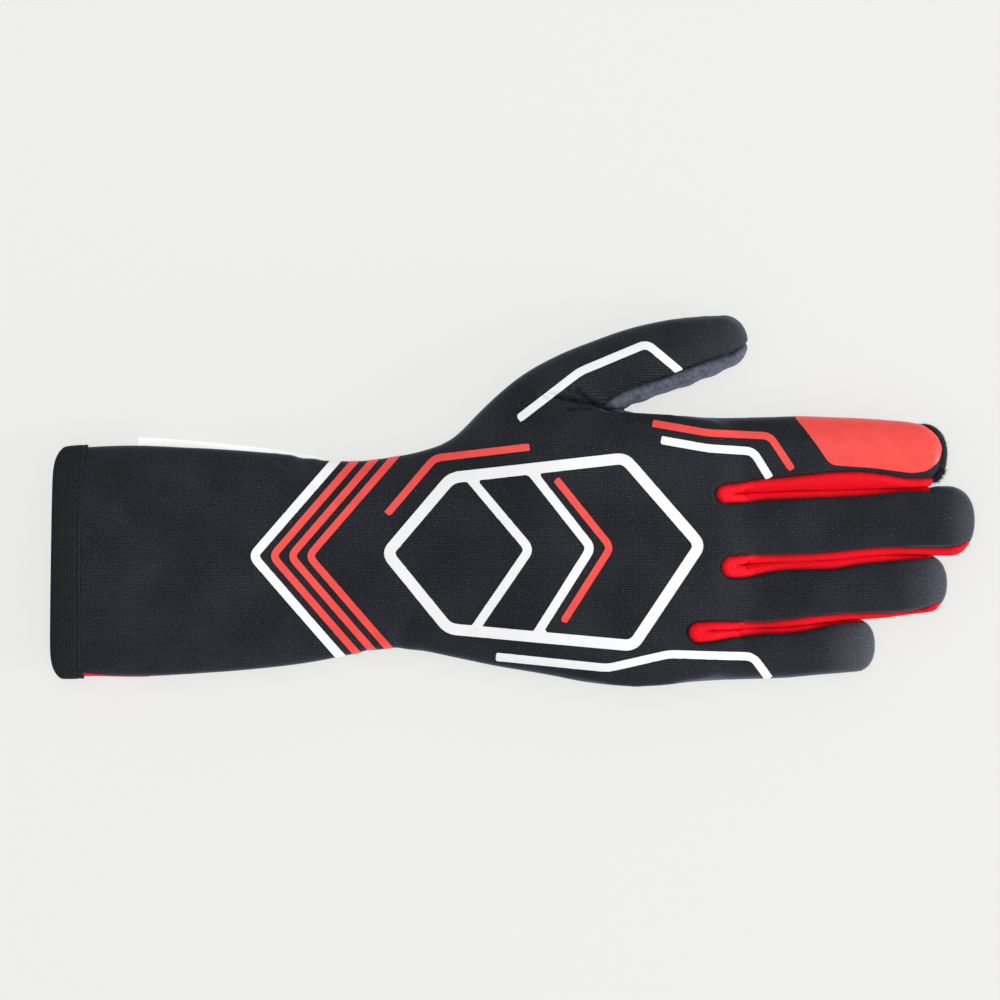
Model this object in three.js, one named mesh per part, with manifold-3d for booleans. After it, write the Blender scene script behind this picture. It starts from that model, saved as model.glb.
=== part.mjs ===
// Racing glove for the right hand, lying palm down as it comes out of a drawer.
// Millimetres. X runs from the cuff mouth to the fingertips, Y towards the thumb, Z up.
// Every panel is a cloth wall cut out of one hollow hand form, so neighbours share their seam lines.
import * as THREE from "three";
import { mergeVertices } from "three/addons/utils/BufferGeometryUtils.js";
import Module from "manifold-3d";

const wasm = await Module();
wasm.setup();

// Walls, seams and clearances
const WALL = 1.8; // knit, foam and lining laminated together
const SEAM_GAP = 0.3; // clearance that two sewn panels keep
const SEAM_HEIGHT = 4.5; // the side seam between back and palm, above the table
const CUFF_SEAM = 116; // from the mouth to where the suede palm meets the cuff's own palm side

// Hand form
const HAND_LENGTH = 242; // cuff mouth to the crotch between index and middle finger
const KNUCKLE_WIDTH = 96;
const PALM_HEIGHT = 24;
const KNUCKLE_DOME = 17; // how far the hand form rounds off past its last section
const BELLY = 0.45; // share of a section's height at which it is widest
const UNDERSIDE = 1.15; // how much deeper the lower half would be if the table did not flatten it
const HAND_ROUNDNESS = 2.5; // superellipse exponent, 2 is an ellipse
const FINGER_ROUNDNESS = 2.25;
const MOUTH_BOW = 3; // how far the two ends of the mouth lie back from its middle

// Fingers: lengths run from each finger's root inside the hand to its tip
const ROOT_DEPTH = 30; // each finger starts this far inside the hand
const FINGER_ROOT = HAND_LENGTH - ROOT_DEPTH;
const INDEX = { length: 110, width: 27.2, height: 17.5 };
const MIDDLE = { length: 120, width: 25.4, height: 17.5 };
const RING = { length: 110, width: 23.2, height: 16.5 };
const LITTLE = { length: 84, width: 18.4, height: 15 };
const TIP_SHARE = 0.4; // a fingertip's dome, as a share of the finger's width
const CROTCH_SLIT = 0.6; // air between two neighbouring fingers
const FOLD_DRIFT = 0.25; // how fast the fold leaves a longer finger past its neighbour's tip
const TIP_STRIP_REACH = 0.75; // how far a strip follows the longer finger's dome
const TIP_STRIP_FLARE = 2.4; // how much wider it is seen there, where the tip curves inwards

// Thumb
const THUMB = { reach: 99, width: 27, height: 17.5 };
const THUMB_TIP = 9;
const THUMB_SEAM = 0.55; // where its suede starts on the back, as a share of its half width
const THUMB_SUEDE_START = 0.4; // share of the thumb's path at which its own palm piece begins

// Trim
const BINDING_WIDTH = 11;
const BINDING_PROUD = 0.5; // how far the folded tape stands off the cuff, outside and inside
const LABEL_START = 31; // from the mouth
const LABEL_LENGTH = 64;
const LABEL_SHOWS = 2.6; // how far the tag sticks out of the side seam at its cuff end
const LABEL_END_SHOWS = 0.9; // and at its other end
const LABEL_THICK = 0.6;
const TIP_WRAP = 2.4; // suede rim that comes over the index fingertip
const TIP_WRAP_LENGTH = 17; // how far back from the tip the rim starts

// Mesh density
const HAND_SIDES = 24;
const FINGER_SIDES = 14;
const HAND_RINGS = 15;
const FINGER_RINGS = 7;
const DOME_RINGS = 3;
const BINDING_RINGS = 3;
const STRIP_STEPS = 8;
const SLOT_STEPS = 6;
const SLOT_ROUND_STEPS = 5;
const TIP_STRIP_STEPS = 4;
const STRIP_CROWDING = 1.5; // above 1 sets a strip's sections closer together at its bulb
const PAST = 5; // cutters run this far past what they cut
const CLEAR_TOP = PALM_HEIGHT + PAST;

// Hand sections: along the hand length, the two edges as shares of the knuckle width
const HAND_ROWS = [
  { along: 0.0, thumbSide: 0.42, littleSide: -0.43, height: 0.76 },
  { along: 0.05, thumbSide: 0.43, littleSide: -0.43, height: 0.76 },
  { along: 0.15, thumbSide: 0.433, littleSide: -0.43, height: 0.76 },
  { along: 0.25, thumbSide: 0.42, littleSide: -0.415, height: 0.76 },
  { along: 0.33, thumbSide: 0.403, littleSide: -0.395, height: 0.75 },
  { along: 0.4, thumbSide: 0.38, littleSide: -0.368, height: 0.74 },
  { along: 0.46, thumbSide: 0.377, littleSide: -0.34, height: 0.75 },
  { along: 0.5, thumbSide: 0.388, littleSide: -0.326, height: 0.78 },
  { along: 0.55, thumbSide: 0.413, littleSide: -0.332, height: 0.82 },
  { along: 0.6, thumbSide: 0.46, littleSide: -0.36, height: 0.87 },
  { along: 0.65, thumbSide: 0.53, littleSide: -0.387, height: 0.92 },
  { along: 0.7, thumbSide: 0.59, littleSide: -0.41, height: 0.97 },
  { along: 0.75, thumbSide: 0.612, littleSide: -0.43, height: 1.0 },
  { along: 0.8, thumbSide: 0.593, littleSide: -0.45, height: 1.0 },
  { along: 0.85, thumbSide: 0.56, littleSide: -0.463, height: 0.98 },
  { along: 0.9, thumbSide: 0.548, littleSide: -0.462, height: 0.94 },
  { along: 0.95, thumbSide: 0.54, littleSide: -0.45, height: 0.88 },
];

// Finger sections: along the finger, the middle as a share of the knuckle width from the cuff's
// centre line, and half width and height as shares of the finger's own sizes
const INDEX_ROWS = [
  { along: 0.0, middle: 0.39, half: 0.53, height: 1.04 },
  { along: 0.26, middle: 0.395, half: 0.51, height: 1.02 },
  { along: 0.39, middle: 0.4, half: 0.505, height: 1.0 },
  { along: 0.52, middle: 0.404, half: 0.495, height: 1.0 },
  { along: 0.65, middle: 0.402, half: 0.478, height: 0.97 },
  { along: 0.78, middle: 0.4, half: 0.455, height: 0.93 },
  { along: 0.9, middle: 0.398, half: 0.43, height: 0.86 },
];
const MIDDLE_ROWS = [
  { along: 0.0, middle: 0.113, half: 0.53, height: 1.04 },
  { along: 0.24, middle: 0.115, half: 0.52, height: 1.02 },
  { along: 0.36, middle: 0.126, half: 0.5, height: 1.0 },
  { along: 0.48, middle: 0.132, half: 0.5, height: 1.0 },
  { along: 0.6, middle: 0.138, half: 0.492, height: 0.97 },
  { along: 0.72, middle: 0.148, half: 0.475, height: 0.94 },
  { along: 0.82, middle: 0.152, half: 0.48, height: 0.91 },
  { along: 0.915, middle: 0.152, half: 0.49, height: 0.86 },
];
const RING_ROWS = [
  { along: 0.0, middle: -0.138, half: 0.5, height: 1.04 },
  { along: 0.26, middle: -0.136, half: 0.5, height: 1.02 },
  { along: 0.39, middle: -0.127, half: 0.51, height: 1.0 },
  { along: 0.52, middle: -0.119, half: 0.5, height: 1.0 },
  { along: 0.65, middle: -0.104, half: 0.478, height: 0.97 },
  { along: 0.78, middle: -0.092, half: 0.49, height: 0.93 },
  { along: 0.915, middle: -0.082, half: 0.455, height: 0.86 },
];
const LITTLE_ROWS = [
  { along: 0.0, middle: -0.356, half: 0.54, height: 1.04 },
  { along: 0.25, middle: -0.352, half: 0.5, height: 1.02 },
  { along: 0.42, middle: -0.345, half: 0.5, height: 1.0 },
  { along: 0.6, middle: -0.341, half: 0.505, height: 0.98 },
  { along: 0.78, middle: -0.325, half: 0.52, height: 0.94 },
  { along: 0.92, middle: -0.314, half: 0.515, height: 0.86 },
];

// Thumb sections: the middle as shares of the thumb's reach from its root, half width and height
// as shares of its own sizes, and how far its suede has risen to its full width. The root's place
// is in shares of the hand length and the knuckle width
const THUMB_ROOT = { forward: 0.62, across: 0.349 };
const THUMB_ROWS = [
  { forward: 0.0, across: 0.0, half: 0.4, height: 0.9, suede: 0 },
  { forward: 0.13, across: 0.115, half: 0.47, height: 0.98, suede: 0 },
  { forward: 0.26, across: 0.215, half: 0.5, height: 1.0, suede: 0 },
  { forward: 0.385, across: 0.285, half: 0.505, height: 1.0, suede: 0 },
  { forward: 0.51, across: 0.34, half: 0.49, height: 1.0, suede: 0.4 },
  { forward: 0.635, across: 0.385, half: 0.48, height: 0.97, suede: 1 },
  { forward: 0.765, across: 0.42, half: 0.455, height: 0.93, suede: 1 },
  { forward: 0.855, across: 0.443, half: 0.415, height: 0.88, suede: 1 },
  { forward: 0.925, across: 0.46, half: 0.36, height: 0.82, suede: 1 },
];

// Fourchettes: red stretch strips between two fingers. Each runs from a bulb short of its crotch
// to a margin short of the shorter finger's tip. Along that share, the widths seen from above on
// either side of the fold are shares of the strip's own width
const INDEX_MIDDLE = {
  crotch: HAND_LENGTH,
  bulb: 3.4,
  tipMargin: 6,
  width: 6.3,
  rows: [
    { along: 0.0, thumbSide: 0.08, littleSide: 0.08 },
    { along: 0.03, thumbSide: 0.38, littleSide: 0.35 },
    { along: 0.08, thumbSide: 0.56, littleSide: 0.48 },
    { along: 0.22, thumbSide: 0.73, littleSide: 0.38 },
    { along: 0.45, thumbSide: 0.95, littleSide: 0.33 },
    { along: 0.65, thumbSide: 1.0, littleSide: 0.29 },
    { along: 0.85, thumbSide: 0.54, littleSide: 0.19 },
    { along: 1.0, thumbSide: 0.4, littleSide: 0.19 },
  ],
};
const MIDDLE_RING = {
  crotch: HAND_LENGTH + 1.5,
  bulb: 3.4,
  tipMargin: 7,
  width: 3.9,
  rows: [
    { along: 0.0, thumbSide: 0.13, littleSide: 0.13 },
    { along: 0.03, thumbSide: 0.62, littleSide: 0.72 },
    { along: 0.08, thumbSide: 0.87, littleSide: 1.0 },
    { along: 0.28, thumbSide: 0.59, littleSide: 0.72 },
    { along: 0.5, thumbSide: 0.72, littleSide: 0.64 },
    { along: 0.75, thumbSide: 0.59, littleSide: 0.56 },
    { along: 1.0, thumbSide: 0.54, littleSide: 0.31 },
  ],
};
const RING_LITTLE = {
  crotch: HAND_LENGTH - 9.5,
  bulb: 4.2,
  tipMargin: 4,
  width: 4.2,
  rows: [
    { along: 0.0, thumbSide: 0.12, littleSide: 0.12 },
    { along: 0.04, thumbSide: 0.62, littleSide: 0.76 },
    { along: 0.1, thumbSide: 0.74, littleSide: 1.0 },
    { along: 0.4, thumbSide: 0.5, littleSide: 0.4 },
    { along: 0.7, thumbSide: 0.57, littleSide: 0.31 },
    { along: 1.0, thumbSide: 0.43, littleSide: 0.29 },
  ],
};

// The value of every column of a table at one place along it, smoothly between its rows
function readTable(rows, place) {
  const columns = Object.keys(rows[0]).filter((name) => name !== "along");
  const stops = rows.map((row) => row.along);
  const values = rows.flatMap((row) => columns.map((name) => row[name]));
  const curve = new THREE.CubicInterpolant(stops, values, columns.length);
  const found = curve.evaluate(THREE.MathUtils.clamp(place, stops[0], stops[stops.length - 1]));
  return Object.fromEntries(columns.map((name, index) => [name, found[index]]));
}

function signedPower(value, power) {
  return Math.sign(value) * Math.abs(value) ** power;
}

// Height of a section's upper skin at a share of its half width
function skinHeight(section, share) {
  const belly = BELLY * section.height;
  const rise = (1 - Math.abs(share) ** section.roundness) ** (1 / section.roundness);
  return belly + (section.height - belly) * rise;
}

// One ring of points round a section. A positive inset gives the wall's inner face
function ringPoints(section, inset, sides) {
  const belly = BELLY * section.height;
  const power = 2 / section.roundness;
  const forward = new THREE.Vector2(section.side.y, -section.side.x);
  const points = [];
  for (let step = 0; step < sides; step++) {
    const angle = (2 * Math.PI * step) / sides;
    const across = signedPower(Math.cos(angle), power);
    const up = signedPower(Math.sin(angle), power);
    const reach = up > 0 ? section.height - belly - inset : belly * UNDERSIDE - inset;
    const height = Math.max(belly + up * reach * section.scale, Math.max(inset, 0));
    const plan = section.middle.clone();
    plan.addScaledVector(section.side, across * (section.half - inset) * section.scale);
    plan.addScaledVector(forward, section.bow * across * across);
    points.push(new THREE.Vector3(plan.x, plan.y, height));
  }
  return points;
}

// A closed solid through rings of points, with flat fans over its two ends
function loft(rings) {
  const sides = rings[0].length;
  const vertices = [];
  const triangles = [];
  for (const ring of rings) {
    for (const point of ring) vertices.push(point.x, point.y, point.z);
  }
  for (let row = 0; row + 1 < rings.length; row++) {
    for (let step = 0; step < sides; step++) {
      const next = (step + 1) % sides;
      const corners = [row * sides + step, row * sides + next];
      const ahead = corners.map((corner) => corner + sides);
      triangles.push(corners[0], corners[1], ahead[1], corners[0], ahead[1], ahead[0]);
    }
  }
  for (const [row, turned] of [[0, true], [rings.length - 1, false]]) {
    const hub = vertices.length / 3;
    const centre = rings[row].reduce((sum, point) => sum.add(point), new THREE.Vector3());
    centre.divideScalar(sides);
    vertices.push(centre.x, centre.y, centre.z);
    for (let step = 0; step < sides; step++) {
      const pair = [row * sides + step, row * sides + ((step + 1) % sides)];
      if (turned) pair.reverse();
      triangles.push(hub, pair[0], pair[1]);
    }
  }
  return solidFrom(vertices, triangles);
}

function solidFrom(vertices, triangles) {
  const mesh = new wasm.Mesh({
    numProp: 3,
    vertProperties: new Float32Array(vertices),
    triVerts: new Uint32Array(triangles),
  });
  return new wasm.Manifold(mesh);
}

// An upright prism over a plan outline
function prism(outline, bottom, top) {
  const shape = new THREE.Shape(outline);
  const extruded = new THREE.ExtrudeGeometry(shape, { depth: top - bottom, bevelEnabled: false });
  extruded.translate(0, 0, bottom);
  extruded.deleteAttribute("normal");
  extruded.deleteAttribute("uv");
  const merged = mergeVertices(extruded);
  return solidFrom(merged.getAttribute("position").array, merged.getIndex().array);
}

function slab(fromX, toX, fromZ, toZ) {
  const reach = 2 * KNUCKLE_WIDTH;
  const corners = [[fromX, -reach], [toX, -reach], [toX, reach], [fromX, reach]];
  return prism(corners.map(([x, y]) => new THREE.Vector2(x, y)), fromZ, toZ);
}

// The rings past a form's last full section, closing it with a rounded tip
function domeSections(last, heading, length) {
  const sections = [];
  for (let step = 1; step <= DOME_RINGS; step++) {
    const angle = (step / (DOME_RINGS + 0.35)) * (Math.PI / 2);
    const power = 2 / last.roundness;
    const middle = last.middle.clone();
    middle.addScaledVector(heading, length * Math.sin(angle) ** power);
    sections.push({ ...last, middle, scale: Math.cos(angle) ** power });
  }
  return sections;
}

// Hand form
function handSection(forward) {
  const row = readTable(HAND_ROWS, forward / HAND_LENGTH);
  const bowFade = Math.max(0, 1 - Math.max(0, forward) / BINDING_WIDTH);
  return {
    middle: new THREE.Vector2(forward, ((row.thumbSide + row.littleSide) / 2) * KNUCKLE_WIDTH),
    side: new THREE.Vector2(0, 1),
    half: ((row.thumbSide - row.littleSide) / 2) * KNUCKLE_WIDTH,
    height: row.height * PALM_HEIGHT,
    roundness: HAND_ROUNDNESS,
    bow: MOUTH_BOW * bowFade,
    scale: 1,
  };
}

function handSections(from, to, count) {
  const sections = [];
  for (let step = 0; step <= count; step++) {
    sections.push(handSection(from + ((to - from) * step) / count));
  }
  return sections;
}

function handForm(inset, from) {
  const last = HAND_ROWS[HAND_ROWS.length - 1].along * HAND_LENGTH;
  const sections = handSections(from, last, HAND_RINGS);
  const heading = new THREE.Vector2(1, 0);
  sections.push(...domeSections(sections[HAND_RINGS], heading, KNUCKLE_DOME - inset));
  return loft(sections.map((section) => ringPoints(section, inset, HAND_SIDES)));
}

// Fingers
function fingerSection(finger, rows, forward) {
  const row = readTable(rows, (forward - FINGER_ROOT) / finger.length);
  return {
    middle: new THREE.Vector2(forward, row.middle * KNUCKLE_WIDTH),
    side: new THREE.Vector2(0, 1),
    half: row.half * finger.width,
    height: row.height * finger.height,
    roundness: FINGER_ROUNDNESS,
    bow: 0,
    scale: 1,
  };
}

function fingerTipLength(finger) {
  return TIP_SHARE * finger.width;
}

function fingerForm(finger, rows, inset) {
  const dome = fingerTipLength(finger);
  const last = finger.length - dome;
  const sections = [];
  for (let step = 0; step <= FINGER_RINGS; step++) {
    sections.push(fingerSection(finger, rows, FINGER_ROOT + (last * step) / FINGER_RINGS));
  }
  const heading = new THREE.Vector2(1, 0);
  sections.push(...domeSections(sections[FINGER_RINGS], heading, dome - inset));
  return loft(sections.map((section) => ringPoints(section, inset, FINGER_SIDES)));
}

// Thumb
const THUMB_PATH = new THREE.CatmullRomCurve3(
  THUMB_ROWS.map(
    (row) =>
      new THREE.Vector3(
        THUMB_ROOT.forward * HAND_LENGTH + row.forward * THUMB.reach,
        THUMB_ROOT.across * KNUCKLE_WIDTH + row.across * THUMB.reach,
        0,
      ),
  ),
  false,
  "centripetal",
);

function thumbSection(place) {
  const rows = THUMB_ROWS.map((row, index) => ({ ...row, along: index / (THUMB_ROWS.length - 1) }));
  const row = readTable(rows, place);
  const middle = THUMB_PATH.getPoint(place);
  const heading = THUMB_PATH.getTangent(place);
  return {
    middle: new THREE.Vector2(middle.x, middle.y),
    heading: new THREE.Vector2(heading.x, heading.y),
    side: new THREE.Vector2(-heading.y, heading.x),
    half: row.half * THUMB.width,
    height: row.height * THUMB.height,
    suede: row.suede,
    roundness: FINGER_ROUNDNESS,
    bow: 0,
    scale: 1,
  };
}

function thumbForm(inset) {
  const sections = [];
  for (let step = 0; step <= FINGER_RINGS; step++) sections.push(thumbSection(step / FINGER_RINGS));
  const last = sections[FINGER_RINGS];
  sections.push(...domeSections(last, last.heading, THUMB_TIP - inset));
  return loft(sections.map((section) => ringPoints(section, inset, FINGER_SIDES)));
}

// Everything on the thumb below its slanting seam, grown by a clearance
function thumbSuedeCutter(lift) {
  const rings = [];
  for (let step = 0; step <= FINGER_RINGS; step++) {
    const share = step / FINGER_RINGS;
    const section = thumbSection(THUMB_SUEDE_START + (1 - THUMB_SUEDE_START) * share);
    const reach = section.half + PAST;
    const high = skinHeight(section, THUMB_SEAM);
    const slope = (section.suede * (high - SEAM_HEIGHT)) / ((1 + THUMB_SEAM) * section.half);
    const outer = SEAM_HEIGHT + lift - slope * PAST;
    const inner = SEAM_HEIGHT + lift + slope * (section.half + reach);
    const corners = [[reach, -PAST], [reach, outer], [-reach, inner], [-reach, -PAST]];
    const places = [step === 0 ? -lift : 0];
    if (step === FINGER_RINGS) places.push(THUMB_TIP + PAST);
    for (const onward of places) {
      rings.push(
        corners.map(([across, height]) => {
          const plan = section.middle.clone();
          plan.addScaledVector(section.side, across);
          plan.addScaledVector(section.heading, onward);
          return new THREE.Vector3(plan.x, plan.y, height);
        }),
      );
    }
  }
  return loft(rings);
}

// The fold where two neighbouring fingers meet, as a distance across. Past the shorter finger's
// tip it leaves the longer finger's flank
function foldBetween({ upper, lower }, forward) {
  const high = fingerSection(upper.finger, upper.rows, forward);
  const low = fingerSection(lower.finger, lower.rows, forward);
  const contact = (high.middle.y - high.half + low.middle.y + low.half) / 2;
  const shorter = Math.min(upper.finger.length, lower.finger.length);
  const past = Math.max(0, forward - FINGER_ROOT - shorter);
  return contact + (upper.finger.length > lower.finger.length ? -1 : 1) * FOLD_DRIFT * past;
}

// The upright slot along the fold with a round end at the crotch, and what lies past either side
// of it, which trims the finger on the other side
function fingerSlot(join, grow) {
  const half = CROTCH_SLIT / 2 + grow;
  const from = join.strip.crotch + CROTCH_SLIT / 2;
  const to = FINGER_ROOT + Math.max(join.upper.finger.length, join.lower.finger.length) + PAST;
  const thumbEdge = [];
  const littleEdge = [];
  for (let step = 0; step <= SLOT_STEPS; step++) {
    const forward = from + ((to - from) * step) / SLOT_STEPS;
    const fold = foldBetween(join, forward);
    thumbEdge.push(new THREE.Vector2(forward, fold + half));
    littleEdge.push(new THREE.Vector2(forward, fold - half));
  }
  const start = foldBetween(join, from);
  const round = [];
  for (let step = 1; step < SLOT_ROUND_STEPS; step++) {
    const angle = Math.PI / 2 + (Math.PI * step) / SLOT_ROUND_STEPS;
    round.push(new THREE.Vector2(from + half * Math.cos(angle), start + half * Math.sin(angle)));
  }
  const beyond = (across) => [new THREE.Vector2(to, across), new THREE.Vector2(from, across)];
  const upright = (outline) => prism(outline, -PAST, CLEAR_TOP);
  return {
    slot: upright([...littleEdge, ...[...thumbEdge].reverse(), ...round]),
    thumbSide: upright([...littleEdge, ...beyond(KNUCKLE_WIDTH)]),
    littleSide: upright([...thumbEdge, ...beyond(-KNUCKLE_WIDTH)]),
  };
}

// The space that a fourchette's wall takes: from the side seam up the two facing flanks to the
// seam lines that the strip's widths give, cut towards the fingers' own axes. Where the thumb-side
// finger's tip runs on past its neighbour, the strip goes on along its flank alone
function seamPoint(section, fold, width, towards) {
  const across = fold + towards * width;
  const share = THREE.MathUtils.clamp((across - section.middle.y) / section.half, -1, 1);
  return new THREE.Vector2(across, skinHeight(section, share));
}

function stripEnd({ strip, upper, lower }) {
  const shorter = Math.min(upper.finger.length, lower.finger.length);
  return FINGER_ROOT + shorter - strip.tipMargin;
}

function stripStops(join) {
  const { strip, upper, lower } = join;
  const from = strip.crotch - strip.bulb;
  const to = stripEnd(join);
  const stops = [];
  for (let step = 0; step <= STRIP_STEPS; step++) {
    const share = (step / STRIP_STEPS) ** STRIP_CROWDING;
    const row = readTable(strip.rows, share);
    stops.push({
      forward: from + (to - from) * share,
      thumbSide: row.thumbSide * strip.width,
      littleSide: row.littleSide * strip.width,
      facing: true,
    });
  }
  if (upper.finger.length <= lower.finger.length) return stops;
  const dome = fingerTipLength(upper.finger);
  const last = FINGER_ROOT + upper.finger.length - dome;
  const start = to + CROTCH_SLIT;
  const end = last + dome * TIP_STRIP_REACH;
  const width = stops[STRIP_STEPS].thumbSide;
  for (let step = 0; step <= TIP_STRIP_STEPS; step++) {
    const forward = start + ((end - start) * step) / TIP_STRIP_STEPS;
    const flare = 1 + (TIP_STRIP_FLARE - 1) * Math.max(0, (forward - last) / (end - last));
    stops.push({ thumbSide: width * flare, forward, facing: false });
  }
  return stops;
}

function stripCutter(join, grow) {
  const { upper, lower } = join;
  const end = stripEnd(join);
  const rings = [];
  for (const { forward, thumbSide, littleSide, facing } of stripStops(join)) {
    const shift = rings.length === 0 ? -grow : forward >= end ? grow : 0;
    const high = fingerSection(upper.finger, upper.rows, forward);
    const low = fingerSection(lower.finger, lower.rows, forward);
    const fold = foldBetween(join, forward);
    const thumbFold = Math.max(fold, high.middle.y - high.half);
    const thumbSeam = seamPoint(high, thumbFold, thumbSide + grow, 1);
    const littleSeam = facing
      ? seamPoint(low, fold, littleSide + grow, -1)
      : new THREE.Vector2(fold, thumbSeam.y);
    const floor = SEAM_HEIGHT - grow;
    const outline = [
      [facing ? low.middle.y : fold, floor],
      [high.middle.y, floor],
      [thumbSeam.x, thumbSeam.y],
      [thumbSeam.x, CLEAR_TOP],
      [littleSeam.x, CLEAR_TOP],
      [littleSeam.x, littleSeam.y],
    ];
    rings.push(outline.map(([across, height]) => new THREE.Vector3(forward + shift, across, height)));
  }
  return loft(rings);
}

const FINGERS = {
  index: { finger: INDEX, rows: INDEX_ROWS },
  middle: { finger: MIDDLE, rows: MIDDLE_ROWS },
  ring: { finger: RING, rows: RING_ROWS },
  little: { finger: LITTLE, rows: LITTLE_ROWS },
};
const JOINS = {
  fourchette_index_middle: { upper: FINGERS.index, lower: FINGERS.middle, strip: INDEX_MIDDLE },
  fourchette_middle_ring: { upper: FINGERS.middle, lower: FINGERS.ring, strip: MIDDLE_RING },
  fourchette_ring_little: { upper: FINGERS.ring, lower: FINGERS.little, strip: RING_LITTLE },
};

// The whole hand as one solid. With an inset it is the hollow, which stays a wall's thickness
// clear of the slots between the fingers
function wholeForm(inset, from) {
  const slots = Object.values(JOINS).map((join) => ({ ...join, ...fingerSlot(join, inset) }));
  let form = handForm(inset, from).add(thumbForm(inset));
  for (const { slot } of slots) form = form.subtract(slot);
  for (const each of Object.values(FINGERS)) {
    let finger = fingerForm(each.finger, each.rows, inset);
    for (const { upper, lower, thumbSide, littleSide } of slots) {
      if (upper === each) finger = finger.subtract(littleSide);
      if (lower === each) finger = finger.subtract(thumbSide);
    }
    form = form.add(finger);
  }
  return form;
}

const shell = wholeForm(0, 0).subtract(wholeForm(WALL, -PAST));

// Rim of suede over the index fingertip: everything outside a rounded outline near the tip
function tipWrapCutter(grow) {
  const { finger, rows } = FINGERS.index;
  const tip = FINGER_ROOT + finger.length;
  const section = fingerSection(finger, rows, tip - fingerTipLength(finger));
  const inside = section.half - TIP_WRAP + grow;
  const centre = tip - TIP_WRAP - inside + grow;
  const start = tip - TIP_WRAP_LENGTH;
  const reach = section.half + PAST;
  const outline = [];
  for (let step = 0; step <= SLOT_STEPS; step++) {
    const angle = -Math.PI / 2 + (Math.PI * step) / SLOT_STEPS;
    const across = section.middle.y + inside * Math.sin(angle);
    outline.push(new THREE.Vector2(centre + inside * Math.cos(angle), across));
  }
  const window = prism(
    [
      new THREE.Vector2(start - PAST, section.middle.y - inside),
      ...outline,
      new THREE.Vector2(start - PAST, section.middle.y + inside),
    ],
    -PAST,
    CLEAR_TOP,
  );
  const block = prism(
    [
      new THREE.Vector2(start + grow, section.middle.y - reach),
      new THREE.Vector2(tip + PAST, section.middle.y - reach),
      new THREE.Vector2(tip + PAST, section.middle.y + reach),
      new THREE.Vector2(start + grow, section.middle.y + reach),
    ],
    SEAM_HEIGHT - WALL,
    CLEAR_TOP,
  );
  const { littleSide } = fingerSlot(JOINS.fourchette_index_middle, 0);
  return block.subtract(window).subtract(littleSide);
}

// The thumb's own palm piece lies outside the hand form
function thumbSuedeSpace(lift, clearance) {
  return thumbSuedeCutter(lift).subtract(handForm(-clearance, 0));
}

// The folded tape round the mouth
function cuffBinding() {
  const ring = (inset, from, to) =>
    loft(handSections(from, to, BINDING_RINGS).map((row) => ringPoints(row, inset, HAND_SIDES)));
  const outside = ring(-BINDING_PROUD, 0, BINDING_WIDTH);
  const inside = ring(WALL + BINDING_PROUD, -PAST, BINDING_WIDTH + PAST);
  return outside.subtract(inside);
}

// A plain woven tag that sticks out of the side seam on the thumb's side
function sideLabel() {
  const edgeAt = (forward) => {
    const section = handSection(forward);
    return section.middle.y + section.half;
  };
  const end = LABEL_START + LABEL_LENGTH;
  const outline = [
    new THREE.Vector2(LABEL_START, edgeAt(LABEL_START) - PAST),
    new THREE.Vector2(end, edgeAt(end) - PAST),
    new THREE.Vector2(end, edgeAt(end) + LABEL_END_SHOWS),
    new THREE.Vector2(LABEL_START, edgeAt(LABEL_START) + LABEL_SHOWS),
  ];
  const half = LABEL_THICK / 2;
  const strip = prism(outline, SEAM_HEIGHT - half, SEAM_HEIGHT + half);
  return strip.subtract(handForm(-SEAM_GAP, 0));
}

const halfGap = SEAM_GAP / 2;
const far = FINGER_ROOT + MIDDLE.length + PAST;
const cuffStart = BINDING_WIDTH + SEAM_GAP;
const joins = Object.entries(JOINS);
const allFourchettes = joins
  .map(([, join]) => stripCutter(join, halfGap))
  .reduce((sum, space) => sum.add(space));
const thumbSuede = thumbSuedeSpace(halfGap, 0);

const solids = {
  back_panel: shell
    .intersect(slab(cuffStart, far, SEAM_HEIGHT + halfGap, CLEAR_TOP))
    .subtract(allFourchettes)
    .subtract(thumbSuede)
    .subtract(tipWrapCutter(-halfGap)),
  palm_panel: shell
    .intersect(
      slab(CUFF_SEAM + halfGap, far, -PAST, SEAM_HEIGHT - halfGap).add(tipWrapCutter(halfGap)),
    )
    .subtract(allFourchettes)
    .subtract(thumbSuede),
  thumb_palm_panel: shell.intersect(thumbSuedeSpace(-halfGap, SEAM_GAP)),
  cuff_palm_panel: shell.intersect(
    slab(cuffStart, CUFF_SEAM - halfGap, -PAST, SEAM_HEIGHT - halfGap),
  ),
  cuff_binding: cuffBinding(),
  side_label: sideLabel(),
};
for (const [name, join] of joins) {
  solids[name] = shell.intersect(stripCutter(join, -halfGap));
}

// Finishes, as photographed
const FINISHES = {
  back_panel: { color: 0x26282c, roughness: 0.85 },
  palm_panel: { color: 0x4b505c, roughness: 0.95 },
  thumb_palm_panel: { color: 0x4b505c, roughness: 0.95 },
  cuff_palm_panel: { color: 0x26282c, roughness: 0.85 },
  cuff_binding: { color: 0x24262a, roughness: 0.9 },
  side_label: { color: 0xf2f2f0, roughness: 0.6 },
  fourchette_index_middle: { color: 0xe6101a, roughness: 0.75 },
  fourchette_middle_ring: { color: 0xe6101a, roughness: 0.75 },
  fourchette_ring_little: { color: 0xe6101a, roughness: 0.75 },
};

function meshOf(name, solid) {
  const found = solid.getMesh();
  const geometry = new THREE.BufferGeometry();
  geometry.setAttribute("position", new THREE.BufferAttribute(found.vertProperties, 3));
  geometry.setIndex(new THREE.BufferAttribute(found.triVerts, 1));
  geometry.computeVertexNormals();
  const material = new THREE.MeshStandardMaterial({ ...FINISHES[name], metalness: 0 });
  const mesh = new THREE.Mesh(geometry, material);
  mesh.name = name;
  return mesh;
}

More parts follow.
